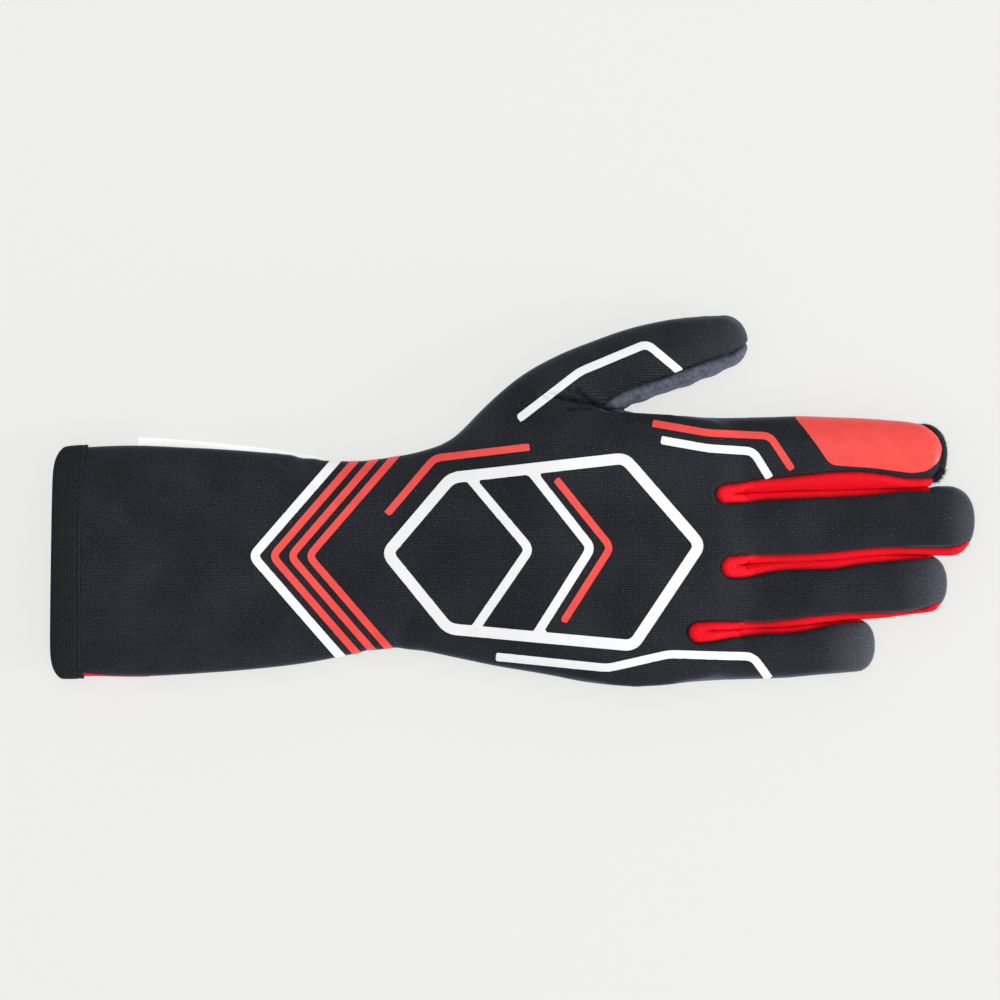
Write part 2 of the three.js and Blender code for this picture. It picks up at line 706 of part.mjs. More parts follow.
// The origin is the middle of the glove's footprint on the table
const glove = new THREE.Group();
for (const [name, solid] of Object.entries(solids)) glove.add(meshOf(name, solid));
const box = new THREE.Box3().setFromObject(glove);
const middle = box.getCenter(new THREE.Vector3());
glove.position.set(-middle.x, -middle.y, -box.min.z);

export default glove;
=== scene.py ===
"""Right-hand racing glove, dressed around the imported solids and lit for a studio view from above.

Lengths are millimetres until a mesh is made, when they become metres. The working frame is the
solids' own: X from the cuff mouth to the fingertips, Y from the cuff's centre line to the thumb.
"""

import logging
import math
from collections.abc import Callable
from dataclasses import dataclass, field
from enum import Enum

import bpy
import numpy as np
import openvdb
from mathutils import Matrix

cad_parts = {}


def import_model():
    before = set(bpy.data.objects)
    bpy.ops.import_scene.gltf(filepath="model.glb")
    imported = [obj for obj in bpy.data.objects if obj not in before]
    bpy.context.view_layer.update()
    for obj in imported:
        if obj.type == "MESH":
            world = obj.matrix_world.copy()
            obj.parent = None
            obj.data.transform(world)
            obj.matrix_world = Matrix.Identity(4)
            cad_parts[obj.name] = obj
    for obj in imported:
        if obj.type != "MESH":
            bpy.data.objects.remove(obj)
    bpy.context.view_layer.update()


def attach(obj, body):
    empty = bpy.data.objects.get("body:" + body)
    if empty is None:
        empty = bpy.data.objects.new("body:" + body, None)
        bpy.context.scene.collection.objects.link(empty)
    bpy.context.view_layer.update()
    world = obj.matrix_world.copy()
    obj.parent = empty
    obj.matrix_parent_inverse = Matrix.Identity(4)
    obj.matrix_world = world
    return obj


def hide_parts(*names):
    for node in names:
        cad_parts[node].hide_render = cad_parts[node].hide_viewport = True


LOG = logging.getLogger("racing_glove")

MM = 0.001
MOUTH = (-165.94, -22.07)  # the working frame's origin in the part's own frame
BODY = "root"
FAR = 20.0  # stands for a distance along the cloth that isn't measured
FAR_FIELD = 50.0  # stands for one in a field

# Cloth and seams
WALL = 1.6
COURSE = 0.82  # from course to course of the knit, which the prints show too
WANDER = 2.4  # how far its courses and wales stray
SEAM_HEIGHT = 4.5
SEAM_DEPTH = 0.55
SEAM_SOFTNESS = 0.75
CUFF_SEAM = 116.0
SHARP_ANGLE = math.radians(60.0)

# Hand form, as the solids have it
HAND_LENGTH = 242.0
KNUCKLE_WIDTH = 96.0
PALM_HEIGHT = 24.0
BELLY = 0.45
UNDERSIDE = 1.15
UPPER_SIDE = (3.0, 8.0)  # heights between which folds and slack grow to their full depth
FINGER_ROOT = HAND_LENGTH - 30.0

WAYS = ("way_x", "way_y", "way_z")

Points = np.ndarray
Pair = tuple[float, float]
Triple = tuple[float, float, float]
Line = tuple[Pair, ...]
Rows = tuple[tuple[float, float, float, float], ...]
Sections = tuple[np.ndarray, np.ndarray, np.ndarray]
Socket = bpy.types.NodeSocket


def smooth_rows(stops: np.ndarray, values: np.ndarray, places: np.ndarray) -> np.ndarray:
    """Reads a table smoothly between its rows.

    Args:
        stops: Where the rows stand, rising.
        values: The value in each row.
        places: Where values are wanted; past either end the end row holds.

    Returns:
        The value at each place.
    """
    slopes = np.gradient(values, stops)
    row = np.clip(np.searchsorted(stops, places) - 1, 0, len(stops) - 2)
    span = stops[row + 1] - stops[row]
    t = np.clip((places - stops[row]) / span, 0.0, 1.0)
    start = (2 * t**3 - 3 * t**2 + 1) * values[row] + (t**3 - 2 * t**2 + t) * span * slopes[row]
    end = (3 * t**2 - 2 * t**3) * values[row + 1] + (t**3 - t**2) * span * slopes[row + 1]
    return start + end


def soft_step(value: np.ndarray, low: float, high: float) -> np.ndarray:
    """Rises smoothly from 0 at low to 1 at high."""
    t = np.clip((value - low) / (high - low), 0.0, 1.0)
    return t * t * (3 - 2 * t)


def soft_least(first: np.ndarray, second: np.ndarray, reach: float) -> np.ndarray:
    """Joins two distance fields with a fillet.

    Args:
        first: One field.
        second: The other field.
        reach: How far the fillet spreads.

    Returns:
        The joined field.
    """
    share = np.clip(0.5 + 0.5 * (second - first) / reach, 0.0, 1.0)
    return second + (first - second) * share - reach * share * (1 - share)


def hump(away: np.ndarray, width: float = 1.0) -> np.ndarray:
    """Falls smoothly from 1 at no distance towards 0, over a width."""
    return np.exp(-((away / width) ** 2))


def measured(
    near: np.ndarray, measure: Callable[[np.ndarray], np.ndarray], far: float = FAR
) -> np.ndarray:
    """Measures a value only where it matters.

    Args:
        near: Which points matter.
        measure: Gives the value at them.
        far: The value at all others.

    Returns:
        The value at every point.
    """
    value = np.full(len(near), far)
    value[near] = measure(near)
    return value


def in_place(points: Points) -> Points:
    """Points of the working frame in metres, in the part's own frame."""
    return (points + np.array([*MOUTH, 0.0])) * MM


def halved(a: np.ndarray, b: np.ndarray, c: np.ndarray, d: np.ndarray) -> np.ndarray:
    """Two triangles for each square of a grid, from its four corners' numbers."""
    return np.concatenate([np.stack(each, -1).reshape(-1, 3) for each in ((a, b, c), (a, c, d))])


def line_distance(places: Points, line: Points) -> np.ndarray:
    """Distance in plan from each place to an open line of points.

    Args:
        places: Where it is wanted.
        line: The line's points.

    Returns:
        The distance at each place.
    """
    best = np.full(len(places), np.inf)
    for start, end in zip(line[:-1], line[1:]):
        along = end - start
        share = np.clip((places - start) @ along / max(along @ along, 1e-9), 0.0, 1.0)
        gap = places - start - share[:, None] * along
        best = np.minimum(best, np.hypot(gap[:, 0], gap[:, 1]))
    return best


def inside_outline(places: Points, outline: Points) -> np.ndarray:
    """Whether each place lies inside a closed outline in plan.

    Args:
        places: The places.
        outline: The outline's corners.

    Returns:
        True at each place inside.
    """
    inside = np.zeros(len(places), bool)
    for start, end in zip(outline, np.roll(outline, -1, axis=0)):
        spans = (start[1] > places[:, 1]) != (end[1] > places[:, 1])
        rise = end[1] - start[1]
        if rise == 0.0:
            continue
        cross = start[0] + (places[:, 1] - start[1]) * (end[0] - start[0]) / rise
        inside ^= spans & (places[:, 0] < cross)
    return inside


def outline_distance(places: Points, outline: Points) -> np.ndarray:
    """Signed distance in plan to a closed outline, negative inside it.

    Args:
        places: The places.
        outline: The outline's corners.

    Returns:
        The distance at each place.
    """
    closed = np.concatenate([outline, outline[:1]])
    gap = line_distance(places, closed)
    return np.where(inside_outline(places, outline), -gap, gap)


def rounded_line(corners: Points, radius: float, closed: bool = False, steps: int = 6) -> Points:
    """Rounds the corners of a line of straight runs.

    Args:
        corners: The line's corners in plan.
        radius: How far from each corner the bend starts.
        closed: Whether the last corner joins the first.
        steps: Points in each bend.

    Returns:
        The points of the rounded line.
    """
    count = len(corners)
    points = []
    for index in range(count):
        if not closed and index in (0, count - 1):
            points.append(corners[index])
            continue
        corner = corners[index]
        before = corners[index - 1] - corner
        after = corners[(index + 1) % count] - corner
        reach = min(radius, np.linalg.norm(before) / 2, np.linalg.norm(after) / 2)
        first = corner + before / np.linalg.norm(before) * reach
        last = corner + after / np.linalg.norm(after) * reach
        for step in range(steps + 1):
            t = step / steps
            points.append((1 - t) ** 2 * first + 2 * t * (1 - t) * corner + t**2 * last)
    return np.array(points)


# ---------------------------------------------------------------- cloth surfaces


@dataclass(frozen=True)
class Cut:
    """The flat size that a piece of cloth was cut to, in mm and square mm."""

    width: float
    length: float
    area: float
    held: str = "stretched"

    def declare(self, piece: bpy.types.Object) -> None:
        """Takes no step: the piece is not declared as cloth of this cut."""


CUTS = {
    "back_panel_cloth": Cut(170.0, 340.0, 33900.0),
    "palm_panel_cloth": Cut(125.0, 220.0, 19600.0),
    "fingertip_rim": Cut(11.0, 32.0, 267.0),
    "thumb_palm_cloth": Cut(45.0, 75.0, 2510.0),
    "cuff_palm_cloth": Cut(85.0, 115.0, 8830.0),
    "fourchette_index_middle_cloth": Cut(27.0, 90.0, 1980.0),
    "fourchette_middle_ring_cloth": Cut(24.0, 100.0, 1940.0),
    "fourchette_ring_little_cloth": Cut(22.0, 98.0, 1700.0),
    "cuff_binding_tape": Cut(21.0, 192.0, 3620.0, "folded"),
    "side_label_tag": Cut(10.0, 64.0, 330.0, "laid"),
}


@dataclass
class Cloth:
    """A sheet of triangles with named values at its points, in the working frame."""

    points: Points
    triangles: np.ndarray
    marks: dict[str, np.ndarray] = field(default_factory=dict)
    snap: float = 0.08

    @property
    def plan(self) -> Points:
        """The points as seen from above."""
        return self.points[:, :2]

    @property
    def outward(self) -> Points:
        """The unit directions that were noted by note_outward."""
        way = np.stack([self.marks[name] for name in WAYS], axis=1)
        return way / np.maximum(np.linalg.norm(way, axis=1), 1e-9)[:, None]

    def note_outward(self) -> None:
        """Notes the directions away from the cloth, so that cuts keep them smooth."""
        for name, value in zip(WAYS, self.normals().T):
            self.marks[name] = value

    def edges(self, keep: object = slice(None)) -> np.ndarray:
        """The edges of some triangles, each in its triangle's own turn."""
        chosen = self.triangles[keep]
        return np.concatenate([chosen[:, [0, 1]], chosen[:, [1, 2]], chosen[:, [2, 0]]])

    def cut(self, mark: str, level: float = 0.0) -> None:
        """Splits the triangles along a line where a mark has one value.

        Args:
            mark: The name of the values.
            level: The value on the line.
        """
        value = self.marks[mark] - level
        value[np.abs(value) < self.snap] = 0.0
        self.marks[mark] = value + level
        high = (value[self.triangles] > 0).sum(axis=1)
        low = (value[self.triangles] < 0).sum(axis=1)
        crossed = (high > 0) & (low > 0)
        if not crossed.any():
            return
        edges = np.sort(self.edges(crossed), axis=1)
        edges = edges[value[edges[:, 0]] * value[edges[:, 1]] < 0]
        found = np.unique(edges, axis=0)
        first, second = found.T
        share = value[first] / (value[first] - value[second])
        count = len(self.points)
        blend = self.points[first] + (self.points[second] - self.points[first]) * share[:, None]
        self.points = np.concatenate([self.points, blend])
        for name, old in self.marks.items():
            fresh = old[first] + (old[second] - old[first]) * share
            self.marks[name] = np.concatenate([old, fresh])
        self.marks[mark][count:] = level
        code = first * count + second

        def middle(one: np.ndarray, other: np.ndarray) -> np.ndarray:
            """The new point on each edge."""
            key = np.minimum(one, other) * count + np.maximum(one, other)
            return np.searchsorted(code, key) + count

        pieces = [self.triangles[~crossed]]
        halves = self.triangles[crossed & (high + low == 2)]
        turn = np.argmax(value[halves] == 0, axis=1)
        a, b, c = np.take_along_axis(halves, (turn[:, None] + np.arange(3)) % 3, axis=1).T
        bc = middle(b, c)
        pieces += [np.stack(each, axis=1) for each in ((a, b, bc), (a, bc, c))]
        thirds = self.triangles[crossed & (high + low == 3)]
        lone = (value[thirds] > 0) == (high[crossed & (high + low == 3)] == 1)[:, None]
        turn = np.argmax(lone, axis=1)
        a, b, c = np.take_along_axis(thirds, (turn[:, None] + np.arange(3)) % 3, axis=1).T
        ab, ac = middle(a, b), middle(a, c)
        pieces += [np.stack(each, axis=1) for each in ((a, ab, ac), (ab, b, c), (ab, c, ac))]
        self.triangles = np.concatenate(pieces)

    def over(self, mark: str, level: float = 0.0) -> np.ndarray:
        """Which triangles lie above a mark's value, once they are cut along it."""
        return self.marks[mark][self.triangles].sum(axis=1) > 3 * level

    def largest(self) -> np.ndarray:
        """Which triangles belong to the largest connected part.

        Returns:
            True for each of its triangles.
        """
        label = np.arange(len(self.points))
        edges = self.edges()
        while True:
            least = np.minimum(label[edges[:, 0]], label[edges[:, 1]])
            fresh = label.copy()
            np.minimum.at(fresh, edges[:, 0], least)
            np.minimum.at(fresh, edges[:, 1], least)
            fresh = fresh[fresh]
            if (fresh == label).all():
                break
            label = fresh
        owner = label[self.triangles[:, 0]]
        return owner == np.bincount(owner).argmax()

    def part(self, keep: np.ndarray) -> "Cloth":
        """The triangles that are kept, as a sheet of their own.

        Args:
            keep: Which triangles are kept.

        Returns:
            The new sheet.
        """
        triangles = self.triangles[keep]
        used, fresh = np.unique(triangles, return_inverse=True)
        marks = {name: value[used] for name, value in self.marks.items()}
        return Cloth(self.points[used], fresh.reshape(-1, 3), marks)

    def normals(self) -> Points:
        """Unit normals at the points.

        Returns:
            One direction for each point, away from the cloth.
        """
        corners = self.points[self.triangles]
        faces = np.cross(corners[:, 1] - corners[:, 0], corners[:, 2] - corners[:, 0])
        count = len(self.points)
        spread = [
            np.bincount(self.triangles.ravel(), np.repeat(faces[:, k], 3), minlength=count)
            for k in range(3)
        ]
        total = np.stack(spread, axis=1)
        return total / np.maximum(np.linalg.norm(total, axis=1), 1e-12)[:, None]

    def moved(self, distance: object) -> "Cloth":
        """The sheet with each point moved outward by a distance."""
        places = self.points + np.reshape(distance, (-1, 1)) * self.outward
        return Cloth(places, self.triangles, self.marks)

    def face_outward(self) -> None:
        """Turns the triangles of a closed sheet round if it is inside out."""
        corners = self.points[self.triangles]
        volume = np.einsum("ij,ij->", corners[:, 0], np.cross(corners[:, 1], corners[:, 2]))
        if volume < 0:
            self.triangles = self.triangles[:, ::-1]

    def walled(self, thickness: float) -> "Cloth":
        """Gives the sheet a wall on its inner side and closes it round its edge.

        Args:
            thickness: The wall's thickness.

        Returns:
            A closed sheet.
        """
        count = len(self.points)
        inner = self.moved(-thickness).points
        edges = self.edges()
        code = edges[:, 0] * count + edges[:, 1]
        back = edges[:, 1] * count + edges[:, 0]
        p, q = edges[~np.isin(code, back)].T
        rim = np.concatenate(
            [np.stack([q, p, p + count], 1), np.stack([q, p + count, q + count], 1)])
        flipped = self.triangles[:, ::-1] + count
        marks = {name: np.concatenate([value, value]) for name, value in self.marks.items()}
        return Cloth(
            np.concatenate([self.points, inner]),
            np.concatenate([self.triangles, flipped, rim]),
            marks,
        )

    def show(self, name: str, finish: "Finish", *nodes: str) -> None:
        """Makes the sheet a piece of the glove.

        Args:
            name: The piece's name.
            finish: What it is made of.
            nodes: The solids that the piece stands for.
        """
        mesh = bpy.data.meshes.new(name)
        place = in_place(self.points)
        mesh.vertices.add(len(place))
        mesh.vertices.foreach_set("co", place.astype(np.float32).ravel())
        mesh.loops.add(self.triangles.size)
        mesh.loops.foreach_set("vertex_index", self.triangles.astype(np.int32).ravel())
        mesh.polygons.add(len(self.triangles))
        starts = np.arange(0, self.triangles.size, 3, dtype=np.int32)
        mesh.polygons.foreach_set("loop_start", starts)
        mesh.polygons.foreach_set("use_smooth", np.ones(len(starts), bool))
        mesh.update(calc_edges=True)

        def note(label: str, kind: str, key: str, values: np.ndarray) -> None:
            """Gives the mesh an attribute at its points."""
            data = mesh.attributes.new(label, kind, "POINT").data
            data.foreach_set(key, values.astype(np.float32).ravel())

        # painted shade in seams, creases and crevices, and painted sheen on the fingertips and the
        # thumb
        for label in ("seam", "painted_sheen"):
            if label in self.marks:
                note(label, "FLOAT", "value", self.marks[label])
        if "wale" in self.marks:
            wale = self.marks["wale"]
            flat = np.stack([self.points[:, 0], wale, 0 * wale], 1)
            note("weave", "FLOAT_VECTOR", "vector", flat * MM)
        mesh.set_sharp_from_angle(angle=SHARP_ANGLE)
        add_piece(name, mesh, finish, *nodes)


def add_piece(name: str, mesh: bpy.types.Mesh, finish: "Finish", *nodes: str) -> None:
    """Links a mesh as a piece that rides on the glove.

    Args:
        name: The piece's name.
        mesh: Its mesh, in place.
        finish: What it is made of.
        nodes: The solids that the piece stands for.
    """
    mesh.materials.clear()
    mesh.materials.append(finish.material())
    piece = bpy.data.objects.new(name, mesh)
    bpy.context.scene.collection.objects.link(piece)
    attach(piece, BODY)
    if nodes:
        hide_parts(*nodes)
    if name in CUTS:
        CUTS[name].declare(piece)
    LOG.info("%s: %d faces", name, len(mesh.polygons))


# ---------------------------------------------------------------- finishes


class Nodes:
    """A node tree, built one node at a time."""

    def __init__(self, tree: bpy.types.NodeTree) -> None:
        """Takes up a tree.

        Args:
            tree: The tree, still empty.
        """
        self.tree = tree

    def add(
        self, kind: str, inputs: dict[str | int, object] | None = None, **settings: object
    ) -> bpy.types.Node:
        """Adds a node.

        Args:
            kind: The node's type.
            inputs: A plain value, or a socket to link, for inputs by their name or place.
            settings: The node's properties.

        Returns:
            The node.
        """
        node = self.tree.nodes.new(kind)
        for name, value in settings.items():
            setattr(node, name, value)
        for key, value in (inputs or {}).items():
            if isinstance(value, Socket):
                self.tree.links.new(value, node.inputs[key])
            else:
                node.inputs[key].default_value = value
        return node


class Tree(Nodes):
    """A material's node tree."""

    def __init__(self, name: str) -> None:
        """Starts an empty material.

        Args:
            name: The material's name.
        """
        self.material = bpy.data.materials.new(name)
        self.material.use_nodes = True
        super().__init__(self.material.node_tree)
        self.tree.nodes.clear()
        self.place = self.add("ShaderNodeTexCoord").outputs["Object"]

    def attribute(self, name: str, output: str = "Fac") -> Socket:
        """A named value that the cloth carries."""
        return self.add("ShaderNodeAttribute", attribute_name=name).outputs[output]

    def on_cloth(self) -> None:
        """Makes the patterns follow the cloth down its sides."""
        self.place = self.attribute("weave", "Vector")

    def turned(self, degrees: float, stretch: Triple = (1.0, 1.0, 1.0)) -> Socket:
        """The coordinates turned about Z and stretched.

        Args:
            degrees: The turn.
            stretch: The factor along each axis.

        Returns:
            The new coordinates.
        """
        turn = (0.0, 0.0, math.radians(degrees))
        inputs = {"Vector": self.place, "Rotation": turn, "Scale": stretch}
        return self.add("ShaderNodeMapping", inputs).outputs["Vector"]

    def noise(self, size: float, detail: float = 3.0, vector: Socket | None = None) -> Socket:
        """Noise whose blots are about a size in mm across."""
        inputs = {"Vector": vector or self.place, "Scale": 1.0 / (size * MM), "Detail": detail}
        return self.add("ShaderNodeTexNoise", inputs).outputs["Fac"]

    def bands(
        self, pitch: float, way: str, wander: float, vector: Socket | None = None
    ) -> Socket:
        """Soft parallel bands.

        Args:
            pitch: Distance from band to band in mm.
            way: The axis that the bands follow each other along.
            wander: How far they stray.
            vector: The coordinates, if not the object's own.

        Returns:
            The bands' height from 0 to 1.
        """
        inputs = {
            "Vector": vector or self.place,
            "Scale": math.pi / (10 * pitch * MM),
            "Distortion": wander,
            "Detail": 2.0,
            "Detail Scale": 0.6,
        }
        node = self.add("ShaderNodeTexWave", inputs, wave_type="BANDS", bands_direction=way)
        return node.outputs["Fac"]

    def mix(self, a: Socket, b: Socket, share: float) -> Socket:
        """A weighted sum of two heights."""
        node = self.add("ShaderNodeMix", {"Factor": share, "A": a, "B": b}, data_type="FLOAT")
        return node.outputs["Result"]

    def product(self, a: Socket, b: Socket) -> Socket:
        """One height times another."""
        return self.add("ShaderNodeMath", {0: a, 1: b}, operation="MULTIPLY").outputs[0]

    def ramp(self, source: Socket, *stops: tuple[float, Triple]) -> Socket:
        """Colours a height by two stops of place and colour.

        Args:
            source: The height.
            stops: Each stop's place and colour.

        Returns:
            The colour.
        """
        node = self.add("ShaderNodeValToRGB", {"Fac": source})
        for element, (place, colour) in zip(node.color_ramp.elements, stops):
            element.position = place
            element.color = (*colour, 1.0)
        return node.outputs["Color"]

    def blend(self, kind: str, share: object, a: Socket, b: object) -> Socket:
        """Mixes two colours; the share and the second colour may be plain values.

        Args:
            kind: How they mix.
            share: The second colour's share.
            a: The first colour.
            b: The second colour.

        Returns:
            The mixed colour.
        """
        inputs = {0: share, 6: a, 7: (*b, 1.0) if isinstance(b, tuple) else b}
        node = self.add("ShaderNodeMix", inputs, data_type="RGBA", blend_type=kind)
        return node.outputs[2]

    def finish(
        self,
        colour: Socket,
        height: Socket,
        relief: float,
        strength: float = 0.8,
        crease: Triple = (0.12, 0.12, 0.13),
        **constants: object,
    ) -> bpy.types.Material:
        """Ends the tree in one cloth shader.

        Args:
            colour: The base colour.
            height: The relief from 0 to 1.
            relief: The relief's depth in mm.
            strength: How strongly the relief shows.
            crease: What the colour is multiplied by where the seam attribute paints shade into
                seams, creases and crevices.
            constants: Values of the shader's own sockets, with _ for a space.

        Returns:
            The finished material.
        """
        bumps = {"Strength": strength, "Distance": relief * MM, "Height": height}
        inputs = {name.replace("_", " "): value for name, value in constants.items()}
        # painted shade: the colour darkens towards the crease colour in seams, creases and crevices
        inputs["Base Color"] = self.blend("MULTIPLY", self.attribute("seam"), colour, crease)
        inputs["Normal"] = self.add("ShaderNodeBump", bumps).outputs["Normal"]
        shader = self.add("ShaderNodeBsdfPrincipled", inputs)
        self.add("ShaderNodeOutputMaterial", {"Surface": shader.outputs["BSDF"]})
        return self.material


@dataclass(frozen=True)
class Finish:
    """What a piece is made of, with the record's material slot that it stands for."""

    name: str
    slot: str

    def material(self) -> bpy.types.Material:
        """The finish's material, made once."""
        own = f"{self.name}_finish"
        return bpy.data.materials.get(own) or self.build(Tree(own))

    def build(self, tree: Tree) -> bpy.types.Material:
        """Builds the node tree."""
        raise NotImplementedError


@dataclass(frozen=True)
class Knit(Finish):
    """Black laminated knit with fine courses, pale flecks and a painted bluish sheen at the
    fingertips and the thumb.
    """

    wale: float = 0.6
    cloud: float = 22.0
    fleck_size: float = 0.55
    dark: Triple = (0.0050, 0.0056, 0.0078)
    light: Triple = (0.0305, 0.0328, 0.0405)
    fleck: Triple = (0.110, 0.120, 0.140)
    # pale bluish tone of the painted sheen where the napped knit catches the light
    nap_and_sheen: Triple = (0.12, 0.13, 0.155)
    sheen: float = 0.28

    def build(self, tree: Tree) -> bpy.types.Material:
        """Builds the node tree.

        Args:
            tree: The material's tree, still empty.

        Returns:
            The finished material.
        """
        tree.on_cloth()
        courses = tree.bands(COURSE, "Y", WANDER)
        wales = tree.bands(self.wale, "X", WANDER)
        grain = tree.noise(0.7)
        weave = tree.mix(tree.mix(courses, wales, 0.4), grain, 0.6)
        tone = tree.ramp(weave, (0.30, self.dark), (0.70, self.light))
        cloudy = tree.ramp(tree.noise(self.cloud, 2.0), (0.35, (0.78,) * 3), (0.7, (1.2,) * 3))
        tone = tree.blend("MULTIPLY", 1.0, tone, cloudy)
        flecks = tree.ramp(tree.noise(self.fleck_size, 1.0), (0.68, (0.0,) * 3), (0.78, (1.0,) * 3))
        tone = tree.blend("MIX", flecks, tone, self.fleck)
        # painted sheen: the pale tone is mixed in, in patches, at the fingertips and the thumb
        sheen_share = tree.product(tree.attribute("painted_sheen"), tree.noise(1.1, 4.0))
        tone = tree.blend("MIX", sheen_share, tone, self.nap_and_sheen)
        return tree.finish(
            tone, weave, relief=0.16, strength=0.85, Roughness=0.75, Specular_IOR_Level=0.10,
            Sheen_Weight=self.sheen, Sheen_Roughness=0.36, Sheen_Tint=(0.62, 0.72, 1.0, 1.0))


@dataclass(frozen=True)
class Suede(Finish):
    """Charcoal microfibre suede with a brushed, mottled nap."""

    dark: Triple = (0.034, 0.039, 0.053)
    light: Triple = (0.140, 0.158, 0.200)
    sheen: float = 0.2

    def build(self, tree: Tree) -> bpy.types.Material:
        """Builds the node tree.

        Args:
            tree: The material's tree, still empty.

        Returns:
            The finished material.
        """
        brushed = tree.noise(0.5, 4.0, tree.turned(25.0, (1.0, 2.2, 1.6)))
        mottled = tree.noise(1.8, 3.0)
        nap_and_sheen = tree.mix(brushed, mottled, 0.5)
        tone = tree.ramp(nap_and_sheen, (0.33, self.dark), (0.68, self.light))
        return tree.finish(
            tone, brushed, relief=0.3, strength=0.8, Roughness=0.95, Specular_IOR_Level=0.12,
            Sheen_Weight=self.sheen, Sheen_Roughness=0.5, Sheen_Tint=(0.7, 0.78, 1.0, 1.0))


@dataclass(frozen=True)
class Stretch(Finish):
    """Red ribbed stretch knit."""

    rib: float = 0.78
    lean: float = 38.0
    trough: Triple = (0.66, 0.001, 0.008)
    crest: Triple = (1.0, 0.006, 0.020)

    def build(self, tree: Tree) -> bpy.types.Material:
        """Builds the node tree.

        Args:
            tree: The material's tree, still empty.

        Returns:
            The finished material.
        """
        ribs = tree.bands(self.rib, "X", 1.0, tree.turned(self.lean))
        grain = tree.noise(0.3)
        weave = tree.mix(ribs, grain, 0.3)
        tone = tree.ramp(weave, (0.2, self.trough), (0.62, self.crest))
        # the crease colour is the deep red of the painted shade in the strips' seams and crevices
        return tree.finish(
            tone, weave, relief=0.2, strength=0.75, crease=(0.3, 0.02, 0.03),
            Roughness=0.7, Specular_IOR_Level=0.12,
            Sheen_Weight=0.01, Sheen_Roughness=0.4, Sheen_Tint=(1.0, 0.35, 0.3, 1.0))


@dataclass(frozen=True)
class Tape(Finish):
    """Black rib-knit binding tape."""

    rib: float = 0.7
    dark: Triple = (0.0035, 0.0040, 0.0050)
    light: Triple = (0.026, 0.028, 0.033)

    def build(self, tree: Tree) -> bpy.types.Material:
        """Builds the node tree.

        Args:
            tree: The material's tree, still empty.

        Returns:
            The finished material.
        """
        ribs = tree.bands(self.rib, "X", 2.2)
        grain = tree.noise(0.6, 3.0, tree.turned(0.0, (2.0, 1.0, 1.0)))
        weave = tree.mix(ribs, grain, 0.72)
        tone = tree.ramp(weave, (0.3, self.dark), (0.72, self.light))
        return tree.finish(
            tone, weave, relief=0.2, strength=0.8, Roughness=0.8, Specular_IOR_Level=0.10,
            Sheen_Weight=0.012, Sheen_Roughness=0.4, Sheen_Tint=(0.7, 0.78, 1.0, 1.0))


@dataclass(frozen=True)
class Ink(Finish):
    """A thick matt print that the knit shows through a little."""

    tone: Triple
    worn: Triple
    roughness: float = 0.5

    def build(self, tree: Tree) -> bpy.types.Material:
        """Builds the node tree.

        Args:
            tree: The material's tree, still empty.

        Returns:
            The finished material.
        """
        tree.on_cloth()
        weave = tree.mix(tree.bands(COURSE, "Y", WANDER), tree.noise(0.5), 0.5)
        patchy = tree.noise(5.0, 3.0)
        tone = tree.ramp(tree.mix(weave, patchy, 0.6), (0.25, self.worn), (0.55, self.tone))
        return tree.finish(
            tone, weave, relief=0.05, strength=0.4, Roughness=self.roughness,
            Specular_IOR_Level=0.35)


@dataclass(frozen=True)
class Thread(Finish):
    """Twisted sewing thread."""

    dark: Triple = (0.006, 0.007, 0.008)
    light: Triple = (0.030, 0.032, 0.037)

    def build(self, tree: Tree) -> bpy.types.Material:
        """Builds the node tree.

        Args:
            tree: The material's tree, still empty.

        Returns:
            The finished material.
        """
        twist = tree.bands(0.3, "X", 0.5, tree.turned(35.0))
        tone = tree.ramp(twist, (0.2, self.dark), (0.8, self.light))
        return tree.finish(
            tone, twist, relief=0.06, strength=0.7, Roughness=0.6,
            Specular_IOR_Level=0.35)


@dataclass(frozen=True)
class Satin(Finish):
    """White woven satin of a sewn-in tag, which glows a little as painted light."""

    def build(self, tree: Tree) -> bpy.types.Material:
        """Builds the node tree.

        Args:
            tree: The material's tree, still empty.

        Returns:
            The finished material.
        """
        weave = tree.mix(tree.bands(0.35, "Y", 0.4), tree.bands(0.5, "X", 0.4), 0.4)
        tone = tree.ramp(weave, (0.1, (0.88, 0.88, 0.87)), (0.6, (0.98, 0.98, 0.97)))
        # painted light: a faint glow lifts the tag out of the glove's shade
        return tree.finish(
            tone, weave, relief=0.05, strength=0.6, Roughness=0.45, Specular_IOR_Level=0.4,
            Emission_Color=(1.0, 1.0, 1.0, 1.0), Emission_Strength=0.22)


@dataclass(frozen=True)
class Paper(Finish):
    """The pale sweep that the glove lies on."""

    tone: Triple = (0.15, 0.15, 0.147)
    glow: Triple = (1.0, 1.0, 0.985)
    strength: float = 0.705

    def build(self, tree: Tree) -> bpy.types.Material:
        """Builds the node tree.

        Args:
            tree: The material's tree, still empty.

        Returns:
            The finished material.
        """
        fibres = tree.noise(2.0, 2.0)
        soft = tuple(0.99 * value for value in self.tone)
        tone = tree.ramp(fibres, (0.3, soft), (0.7, self.tone))
        return tree.finish(
            tone, fibres, relief=0.01, strength=0.1, Roughness=0.9, Specular_IOR_Level=0.1,
            Emission_Color=(*self.glow, 1.0), Emission_Strength=self.strength)


